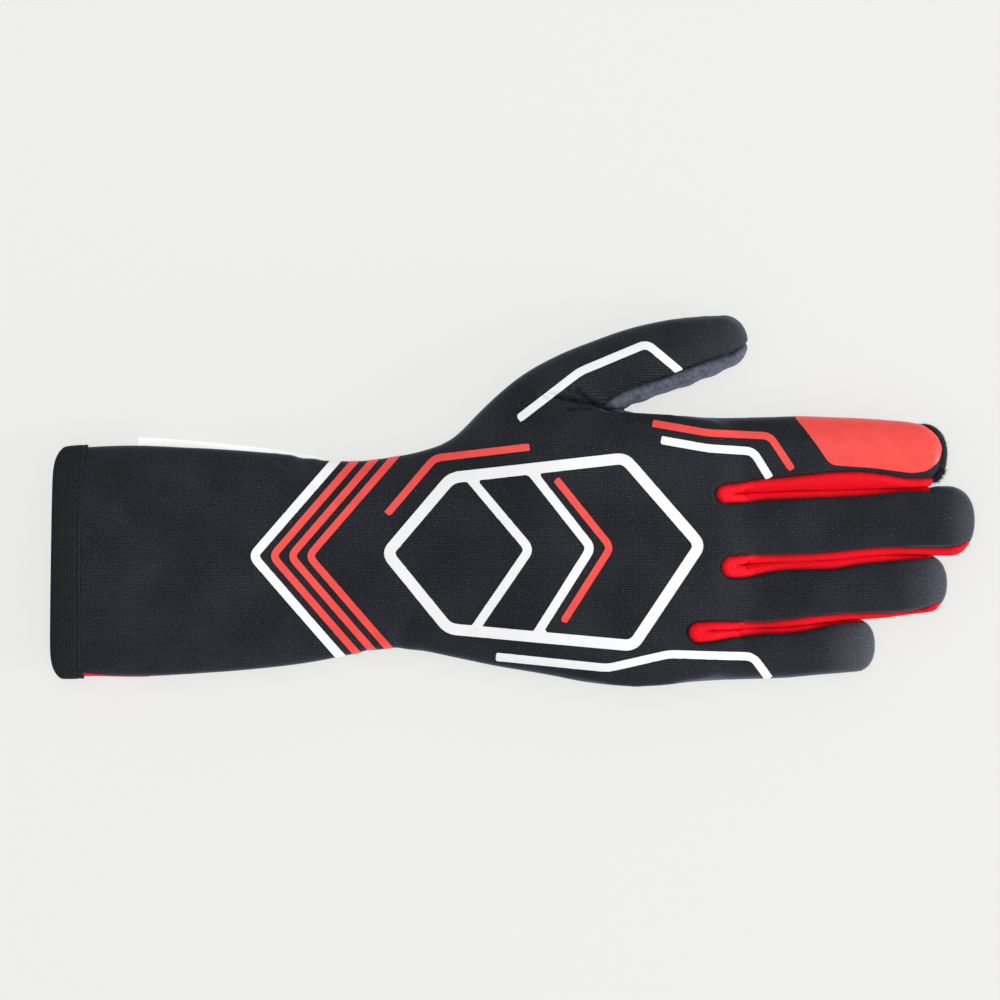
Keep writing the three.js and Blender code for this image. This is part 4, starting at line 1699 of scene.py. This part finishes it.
        # painted sheen on the fingertips and the thumb, where the knit catches the light
        most, forward, across = self.thumb_sheen
        marks["painted_sheen"] = np.maximum.reduce([
            share * soft_step(x, finger.tip - reach, finger.tip - 3.0)
            * (np.abs(y - finger.section(x)[0]) < finger.width * 0.6)
            for finger, share, reach in self.sheen_tips
        ] + [most * soft_step(x, *forward) * soft_step(y, *across)])
        self.skin = skin.moved(lift)
        self.skin.points[:, 2] = np.maximum(self.skin.points[:, 2], 0.0)

    def grow_fuzz(self, rim: np.ndarray, back: np.ndarray) -> None:
        """Puts loose fibres on the index fingertip's rim and on the fingertips' edges.

        Args:
            rim: Which triangles are the rim's.
            back: Which triangles are the back panel's.
        """
        Fuzz("rim_fibres", DARK_SUEDE, 2.2, 0.9, 0.09, 3).on(self.skin.part(rim))
        corners = self.skin.points[self.skin.triangles].mean(axis=1)
        forward, across, radius = self.frayed
        frayed = np.hypot(corners[:, 0] - forward, corners[:, 1] - across) < radius
        Fuzz("frayed_corner", DARK_SUEDE, 9.0, 1.7, 0.12, 5).on(self.skin.part(rim & frayed))
        past = np.maximum.reduce([
            (corners[:, 0] - finger.last + 1.0)
            * (np.abs(corners[:, 1] - finger.section(corners[:, 0])[0]) < finger.width * 0.56)
            for finger in (MIDDLE, RING, LITTLE)])
        steep = self.skin.outward[self.skin.triangles].mean(axis=1)[:, 2] < 0.75
        Fuzz("fingertip_fibres", PALE_FIBRE, 1.0, 0.75, 0.06, 7).on(
            self.skin.part(back & (past > 0) & steep))

    def build(self) -> None:
        """Makes the panels and their loose fibres."""
        skin = self.skin
        upper = skin.over("height")
        strips = [~skin.over(fold.name) & upper for fold in FOLDS]
        any_strip = np.logical_or.reduce(strips)
        suede = skin.over("suede") & ~any_strip
        rim = skin.over("rim") & ~any_strip & ~suede
        back = upper & ~any_strip & ~suede & ~rim
        cuff = ~upper & ~suede & ~rim & ~skin.over("cuff")
        palm = ~upper & ~suede & ~cuff & ~any_strip & ~rim
        for name, keep, finish, *nodes in (
            ("back_panel_cloth", back, KNIT, "back_panel"),
            ("palm_panel_cloth", palm, SUEDE, "palm_panel"),
            ("fingertip_rim", rim, DARK_SUEDE),
            ("thumb_palm_cloth", suede, SUEDE, "thumb_palm_panel"),
            ("cuff_palm_cloth", cuff, KNIT, "cuff_palm_panel"),
        ):
            skin.part(keep).walled(WALL).show(name, finish, *nodes)
        self.grow_fuzz(rim, back)
        for fold, strip in zip(FOLDS, strips):
            skin.part(strip).walled(WALL).show(f"{fold.name}_cloth", STRETCH, fold.name)


# ---------------------------------------------------------------- trim


@dataclass
class Binding:
    """Folded rib-knit tape round the cuff mouth, with its row of stitches."""

    hand: Hand
    sides: int = 220
    rib: float = 1.05
    ripple: float = 0.015
    # the tape's section: forward from the mouth, and how far inside the cuff's face
    section: Line = (
        (11.7, 0.05), (11.65, -0.45), (11.2, -0.8), (10.3, -0.85), (9.6, -0.55), (8.9, -0.85),
        (6.0, -0.95), (3.0, -0.95), (1.2, -0.85), (0.3, -0.35), (0.0, 0.45), (0.15, 1.3),
        (0.8, 2.1), (2.5, 2.45), (6.0, 2.5), (9.6, 2.45), (10.4, 2.2), (10.6, 1.75), (7.0, 1.7),
        (3.0, 1.7), (2.3, 1.5), (2.0, 0.8), (2.3, 0.1), (4.0, 0.0), (8.0, 0.0),
    )

    def loop(self) -> Points:
        """The tape's section with its corners softened and its ribs.

        Returns:
            The section's points, forward and inset.
        """
        corners = np.array(self.section)
        closed = rounded_line(corners, 0.5, closed=True, steps=2)
        points = []
        for start, end in zip(closed, np.roll(closed, -1, axis=0)):
            count = max(1, int(np.linalg.norm(end - start) / 0.35))
            points.extend(start + (end - start) * step / count for step in range(count))
        loop = np.array(points)
        outside = (loop[:, 1] < -0.3) & (loop[:, 0] < 9.2)
        loop[:, 1] += np.where(
            outside, self.ripple * np.cos(2 * math.pi * loop[:, 0] / self.rib), 0.0)
        return loop

    def wave(self, angles: np.ndarray) -> np.ndarray:
        """How far the tape's edge on the cuff strays forward, most at the two side seams.

        Args:
            angles: Places round the mouth.

        Returns:
            The shift at each place.
        """
        from_seam = np.minimum(angles, 2 * math.pi - angles)
        wave = 0.25 * np.sin(3 * angles + 0.7) + 0.12 * np.sin(7 * angles) - 0.7
        wave += 1.4 * hump(from_seam, 0.35)
        return wave + 1.5 * hump(math.pi - from_seam, 0.25)

    def tape(self) -> Cloth:
        """The tape as one closed ring.

        Returns:
            The ring.
        """
        angles = np.linspace(0, 2 * math.pi, self.sides, endpoint=False)
        loop = self.loop()
        rings = [self.hand.ring(float(x), float(inset), angles) for x, inset in loop]
        wave = self.wave(angles)
        for (x, _), ring in zip(loop, rings):
            ring[:, 0] += wave * min(1.0, x / 6.0)
            ring[:, 2] = np.maximum(ring[:, 2], 0.02)
        count, sides = len(rings), self.sides
        index = np.arange(count * sides).reshape(count, sides)
        a, b = index, np.roll(index, -1, axis=0)
        c, d = np.roll(b, -1, axis=1), np.roll(a, -1, axis=1)
        cloth = Cloth(np.concatenate(rings), halved(a, b, c, d))
        cloth.face_outward()
        return cloth

    def stitches(self) -> None:
        """The row of stitches that holds the tape."""
        angles = np.linspace(0, 2 * math.pi, 400, endpoint=False)
        line = self.hand.ring(9.6, -0.62, angles)
        line[:, 0] += self.wave(angles)
        line[:, 2] = np.maximum(line[:, 2], 0.15)
        StitchRow("cuff_stitches", pitch=2.3, length=1.7, thickness=0.34).along(line)

    def build(self) -> None:
        """Makes the tape and its stitches."""
        self.tape().show("cuff_binding_tape", TAPE, "cuff_binding")
        self.stitches()


class Growth(Nodes):
    """A Geometry Nodes tree that lays one small shape at many points."""

    def __init__(self, name: str, **inputs: str) -> None:
        """Starts the tree with its named inputs.

        Args:
            name: The tree's name.
            inputs: The kind of socket of each input, by the input's name.
        """
        super().__init__(bpy.data.node_groups.new(name, "GeometryNodeTree"))
        socket = self.tree.interface.new_socket
        for label, kind in inputs.items():
            socket(label, in_out="INPUT", socket_type=f"NodeSocket{kind}")
        socket("Grown", in_out="OUTPUT", socket_type="NodeSocketGeometry")
        self.source = self.add("NodeGroupInput").outputs

    def sized(self, shape: bpy.types.Node, x: str, y: str, z: str) -> Socket:
        """A shape of unit size stretched along each axis by the input of a name.

        Args:
            shape: The node that makes the shape.
            x: The input's name for X.
            y: The one for Y.
            z: The one for Z.

        Returns:
            The stretched shape.
        """
        sizes = {axis: self.source[name] for axis, name in (("X", x), ("Y", y), ("Z", z))}
        scale = self.add("ShaderNodeCombineXYZ", sizes).outputs["Vector"]
        inputs = {"Geometry": shape.outputs["Mesh"], "Scale": scale}
        return self.add("GeometryNodeTransform", inputs).outputs["Geometry"]

    def lay(
        self, points: Socket, shape: Socket, axis: str, heading: Socket, **more: Socket
    ) -> bpy.types.NodeTree:
        """Ends the tree: lays the shape at the points, makes it real and gives it its material.

        Args:
            points: Where the shapes go.
            shape: The shape.
            axis: The shape's axis that points along the heading.
            heading: The direction at each point.
            more: Other inputs of the node that lays the shapes.

        Returns:
            The finished tree.
        """
        turn = self.add("FunctionNodeAlignRotationToVector", {"Vector": heading}, axis=axis)
        inputs = {"Points": points, "Instance": shape, "Rotation": turn.outputs["Rotation"]}
        placed = self.add("GeometryNodeInstanceOnPoints", inputs | more).outputs["Instances"]
        real = self.add("GeometryNodeRealizeInstances", {"Geometry": placed}).outputs["Geometry"]
        inputs = {"Geometry": real, "Material": self.source["Material"]}
        dressed = self.add("GeometryNodeSetMaterial", inputs).outputs["Geometry"]
        self.add("NodeGroupOutput", {"Grown": dressed})
        return self.tree


@dataclass(frozen=True)
class StitchRow:
    """Short thread capsules laid along a line by Geometry Nodes."""

    name: str
    pitch: float
    length: float
    thickness: float

    def tree(self) -> bpy.types.NodeTree:
        """The tree that lays the stitches, with its sizes as named inputs.

        Returns:
            The finished tree.
        """
        growth = Growth(
            self.name, Line="Geometry", Pitch="Float", Length="Float", Thickness="Float",
            Material="Material")
        inputs = {"Curve": growth.source["Line"], "Length": growth.source["Pitch"]}
        points = growth.add("GeometryNodeCurveToPoints", inputs, mode="LENGTH").outputs
        ball = growth.add("GeometryNodeMeshUVSphere", {"Segments": 8, "Rings": 7, "Radius": 0.5})
        capsule = growth.sized(ball, "Length", "Thickness", "Thickness")
        return growth.lay(points["Points"], capsule, "X", points["Tangent"])

    def along(self, line: Points) -> None:
        """Lays the row along a closed line of points in the working frame.

        Args:
            line: The line's points.
        """
        curve = bpy.data.curves.new(self.name + "_line", "CURVE")
        curve.dimensions = "3D"
        spline = curve.splines.new("POLY")
        spline.points.add(len(line) - 1)
        spline.points.foreach_set("co", np.c_[in_place(line), np.ones(len(line))].ravel())
        spline.use_cyclic_u = True
        carrier = bpy.data.objects.new(self.name + "_line", curve)
        sizes = {"Pitch": self.pitch, "Length": self.length, "Thickness": self.thickness}
        values = {name: value * MM for name, value in sizes.items()}
        mesh = grown(carrier, self.tree(), {**values, "Material": THREAD.material()})
        for polygon in mesh.polygons:
            polygon.use_smooth = True
        add_piece(self.name, mesh, THREAD)


@dataclass(frozen=True)
class Fuzz:
    """Short loose fibres that stand on a patch of cloth, spread by Geometry Nodes."""

    name: str
    finish: Finish
    density: float
    length: float
    thickness: float
    seed: int

    def tree(self) -> bpy.types.NodeTree:
        """The tree that spreads the fibres, with its sizes as named inputs.

        Returns:
            The finished tree.
        """
        growth = Growth(
            self.name, Cloth="Geometry", Density="Float", Length="Float", Thickness="Float",
            Seed="Int", Material="Material")
        seed = growth.source["Seed"]
        inputs = {"Mesh": growth.source["Cloth"], "Density": growth.source["Density"], "Seed": seed}
        points = growth.add("GeometryNodeDistributePointsOnFaces", inputs).outputs
        cone = growth.add("GeometryNodeMeshCone", {
            "Vertices": 4, "Radius Bottom": 0.5, "Radius Top": 0.12, "Depth": 1.0})
        fibre = growth.sized(cone, "Thickness", "Thickness", "Length")
        leans = {0: (-0.9, -0.9, -0.3), 1: (0.9, 0.9, 0.5), "Seed": seed}
        lean = growth.add("FunctionNodeRandomValue", leans, data_type="FLOAT_VECTOR")
        heading = growth.add("ShaderNodeVectorMath", {0: points["Normal"], 1: lean.outputs[0]})
        scales = {2: 0.35, 3: 1.0, "Seed": seed}
        scale = growth.add("FunctionNodeRandomValue", scales, data_type="FLOAT")
        return growth.lay(
            points["Points"], fibre, "Z", heading.outputs[0], Scale=scale.outputs[1])

    def on(self, sheet: Cloth) -> None:
        """Grows the fibres on a patch of cloth, as one piece.

        Args:
            sheet: The patch of cloth.
        """
        mesh = bpy.data.meshes.new(self.name + "_bed")
        mesh.from_pydata(in_place(sheet.points).tolist(), [], sheet.triangles.tolist())
        carrier = bpy.data.objects.new(self.name + "_bed", mesh)
        inputs = {
            "Density": self.density / MM**2,
            "Length": self.length * MM,
            "Thickness": self.thickness * MM,
            "Seed": self.seed,
            "Material": self.finish.material(),
        }
        add_piece(self.name, grown(carrier, self.tree(), inputs), self.finish)


def grown(
    carrier: bpy.types.Object, tree: bpy.types.NodeTree, inputs: dict[str, object]
) -> bpy.types.Mesh:
    """Runs a Geometry Nodes tree once and keeps what it makes as a plain mesh.

    Args:
        carrier: The object that the tree starts from; it is removed.
        tree: The tree.
        inputs: The tree's input values by name.

    Returns:
        The mesh.
    """
    bpy.context.scene.collection.objects.link(carrier)
    modifier = carrier.modifiers.new(tree.name, "NODES")
    modifier.node_group = tree
    for item in tree.interface.items_tree:
        if item.name in inputs and item.in_out == "INPUT":
            modifier[item.identifier] = inputs[item.name]
    graph = bpy.context.evaluated_depsgraph_get()
    mesh = bpy.data.meshes.new_from_object(carrier.evaluated_get(graph), depsgraph=graph)
    bpy.data.objects.remove(carrier)
    return mesh


@dataclass
class Label:
    """A plain woven tag sewn into the cuff's side seam."""

    hand: Hand
    start: float = 31.0
    length: float = 64.0
    shows: float = 3.0
    end_shows: float = 1.1
    thickness: float = 0.35
    tucked: float = 2.6
    lifted: float = 0.2
    sag: float = 0.9
    curl: Pair = (0.45, 6.5)  # the height and length of the waves along its free edge
    skew: float = 0.4
    steps: int = 96
    rows: int = 8

    def build(self) -> None:
        """Makes the tag."""
        along = np.linspace(0, 1, self.steps)
        forward = self.start + self.length * along
        middle, half, _ = self.hand.section(forward)
        edge = middle + half
        outer = edge + self.shows + (self.end_shows - self.shows) * along
        inner = edge - self.tucked
        points = []
        for row in range(self.rows):
            share = row / (self.rows - 1)
            y = inner + (outer - inner) * share
            height, length = self.curl
            sag = height * np.sin(forward / length + 0.5) * share**2 - self.sag * share**2
            z = SEAM_HEIGHT + self.lifted + sag
            points.append(np.stack([forward + self.skew * share, y, z], axis=1))
        index = np.arange(self.rows * self.steps).reshape(self.rows, self.steps)
        a, b, c, d = index[:-1, :-1], index[:-1, 1:], index[1:, 1:], index[1:, :-1]
        sheet = Cloth(np.concatenate(points), halved(a, b, c, d))
        sheet.note_outward()
        sheet.walled(self.thickness).show("side_label_tag", SATIN, "side_label")


class Colour(Enum):
    """The inks on the back."""

    WHITE = "white"
    RED = "red"


@dataclass(frozen=True)
class Band:
    """One printed band, a line of straight runs with rounded corners."""

    colour: Colour
    corners: Line
    width: float
    bend: float = 2.5
    closed: bool = False

    def distance(self, plan: Points) -> np.ndarray:
        """Distance in plan to the band's edge, negative on the band.

        Args:
            plan: The places.

        Returns:
            The distance at each place.
        """
        line = rounded_line(np.array(self.corners), self.bend, self.closed)
        if self.closed:
            line = np.concatenate([line, line[:1]])
            return line_distance(plan, line) - self.width / 2
        away = line_distance(plan, line) - self.width / 2
        for end, beside in ((line[0], line[1]), (line[-1], line[-2])):
            heading = (end - beside) / np.linalg.norm(end - beside)
            away = np.maximum(away, (plan - end) @ heading)
        return away


@dataclass
class Prints:
    """Generic printed bands on the back and the patch on the index fingertip."""

    panels: Panels
    thickness: float = 0.12
    proud: float = 0.03
    edge_span: Pair = (12.0, 36.0)
    edge_top: float = 11.6
    edge_fall: float = 0.175
    upper_side: float = 4.0
    patch: Line = (
        (266.6, 58.0), (266.8, 51.9), (270.5, 47.6), (275.2, 41.2), (279.0, 35.6), (281.0, 34.5),
        (294.7, 33.6), (309.3, 31.7), (314.8, 32.6), (318.6, 35.8), (320.1, 40.2), (318.6, 45.2),
        (314.6, 48.9), (308.0, 50.9), (304.0, 53.0), (298.0, 58.0),
    )
    bands: tuple[Band, ...] = (
        Band(Colour.WHITE, ((112.0, 47.0), (73.0, 2.0), (112.0, -43.0)), 3.2),
        Band(Colour.RED, ((118.0, 46.0), (80.0, 2.0), (118.0, -42.0)), 2.6),
        Band(Colour.RED, ((124.5, 46.0), (86.5, 2.0), (124.5, -42.0)), 2.6),
        Band(Colour.RED, ((131.0, 46.0), (93.0, 2.0), (131.0, -42.0)), 2.6),
        Band(Colour.WHITE, ((121.0, 3.0), (144.0, 30.0), (206.0, 37.0), (233.0, 6.0),
                            (209.0, -30.0), (143.0, -24.0)), 4.0, 3.0, True),
        Band(Colour.WHITE, ((150.0, 30.6), (172.0, 4.5), (152.0, -24.7)), 3.2),
        Band(Colour.WHITE, ((172.0, 33.0), (194.0, 5.0), (174.0, -26.8)), 3.2),
        Band(Colour.RED, ((181.5, 29.5), (201.0, 5.2), (184.0, -21.5)), 2.6),
        Band(Colour.RED, ((121.0, 17.0), (138.0, 37.0), (172.0, 41.0)), 2.6),
        Band(Colour.WHITE, ((168.0, 51.0), (190.0, 68.0), (214.0, 78.0), (226.0, 68.0)), 2.9),
        Band(Colour.RED, ((216.0, 49.5), (236.0, 46.0), (258.0, 45.0), (266.0, 33.0)), 2.6),
        Band(Colour.WHITE, ((219.0, 43.5), (236.0, 40.5), (252.0, 39.5), (258.0, 30.0)), 2.9),
        Band(Colour.WHITE, ((160.0, -34.0), (200.0, -38.0), (222.0, -33.0), (252.0, -34.0),
                            (258.0, -42.0)), 2.9),
    )

    def film(self, name: str, away: np.ndarray, finish: Finish) -> None:
        """Makes one thin print that follows the cloth.

        Args:
            name: The print's name.
            away: Each skin point's distance from the print, negative under it.
            finish: The ink.
        """
        skin = self.panels.skin
        skin.marks["print"] = away
        sheet = skin.part(away[skin.triangles].min(axis=1) < 0)
        skin.marks.pop("print")
        sheet.cut("print")
        sheet = sheet.part(~sheet.over("print"))
        for fold in FOLDS:
            sheet.cut(fold.name)
            sheet = sheet.part(sheet.over(fold.name))
        for mark in ("rim", "suede"):
            sheet.cut(mark)
            sheet = sheet.part(~sheet.over(mark))
        # the prints carry neither the painted shade nor the painted sheen
        for mark in ("seam", "painted_sheen"):
            sheet.marks.pop(mark)
        sheet = sheet.moved(self.proud + self.thickness)
        sheet.walled(self.thickness).show(name, finish)

    def build(self) -> None:
        """Makes the bands and the fingertip patch."""
        skin = self.panels.skin
        x, y, z = skin.points.T
        for colour, finish in ((Colour.WHITE, WHITE_INK), (Colour.RED, RED_INK)):
            bands = [band for band in self.bands if band.colour is colour]
            away = measured(z > self.upper_side, lambda near: np.minimum.reduce(
                [band.distance(skin.plan[near]) for band in bands]))
            away = np.maximum(away, SEAM_HEIGHT + 1.2 - z)
            self.film(f"print_{colour.value}_bands", away, finish)
        outline = rounded_line(np.array(self.patch), 2.0, closed=True, steps=4)
        away = measured(
            (x > 260.0) & (y > 25.0) & (z > self.upper_side),
            lambda near: outline_distance(skin.plan[near], outline))
        away = np.maximum(away, SEAM_HEIGHT + 0.8 - z)
        self.film("fingertip_patch", away, RED_INK)
        top = self.edge_top - self.edge_fall * (x - self.edge_span[0])
        away = np.maximum.reduce([self.edge_span[0] - x, x - self.edge_span[1], z - top, y])
        self.film("cuff_edge_print", away, STRETCH)


# ---------------------------------------------------------------- studio


@dataclass(frozen=True)
class Studio:
    """A pale sweep, soft light and an overhead camera."""

    centre: Pair = (-4.5, 0.0)
    height: float = 3.0
    frame: float = 360.0
    sweep: float = 6.0
    floor_drop: float = 0.0002
    world: float = 0.7
    sensor: float = 36.0
    # name, place and side in metres and power of each lamp
    lamps: tuple[tuple[str, Triple, float, float], ...] = (
        ("overhead", (-0.2, 0.5, 2.2), 1.4, 11.0),
        ("tip_side", (2.2, -0.5, 0.5), 0.8, 44.0),
    )

    def floor(self) -> None:
        """The surface that the glove lies on."""
        mesh = bpy.data.meshes.new("sweep")
        half = self.sweep / 2
        corners = [(-half, -half, 0), (half, -half, 0), (half, half, 0), (-half, half, 0)]
        mesh.from_pydata(corners, [], [(0, 1, 2, 3)])
        mesh.materials.append(PAPER.material())
        floor = bpy.data.objects.new("sweep", mesh)
        floor.location.z = -self.floor_drop
        bpy.context.scene.collection.objects.link(floor)

    def light(self, name: str, place: Triple, size: float, power: float) -> None:
        """One square soft light aimed at the glove.

        Args:
            name: Its name.
            place: Where it hangs.
            size: Its side.
            power: Its power in watts.
        """
        data = bpy.data.lights.new(name, "AREA")
        data.shape, data.size, data.energy = "SQUARE", size, power
        lamp = bpy.data.objects.new(name, data)
        bpy.context.scene.collection.objects.link(lamp)
        lamp.location = place
        lamp.rotation_mode = "QUATERNION"
        lamp.rotation_quaternion = (-lamp.location).to_track_quat("-Z", "Y")

    def build(self) -> None:
        """Sets up floor, light and camera."""
        scene = bpy.context.scene
        scene.view_settings.view_transform = "Standard"
        self.floor()
        for lamp in self.lamps:
            self.light(*lamp)
        world = bpy.data.worlds.new("studio")
        scene.world = world
        world.use_nodes = True
        background = world.node_tree.nodes["Background"]
        background.inputs["Color"].default_value = (1.0, 1.0, 1.0, 1.0)
        background.inputs["Strength"].default_value = self.world
        data = bpy.data.cameras.new("overhead_camera")
        data.lens = self.sensor * self.height / (self.frame * MM)
        data.sensor_width = self.sensor
        data.clip_start, data.clip_end = 0.1, 20.0
        camera = bpy.data.objects.new("overhead_camera", data)
        scene.collection.objects.link(camera)
        camera.location = (self.centre[0] * MM, self.centre[1] * MM, self.height)
        scene.camera = camera


def corners(box: tuple) -> list[list[float]]:
    """A box's two corners as plain lists."""
    return [list(corner) for corner in box]


def main() -> None:
    """Builds the glove and its studio."""
    logging.basicConfig(level=logging.INFO, format="%(name)s: %(message)s")
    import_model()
    form = Form()
    panels = Panels(form)
    panels.build()
    Prints(panels).build()
    Binding(form.hand).build()
    Label(form.hand).build()
    Studio().build()


if __name__ == "__main__":
    main()
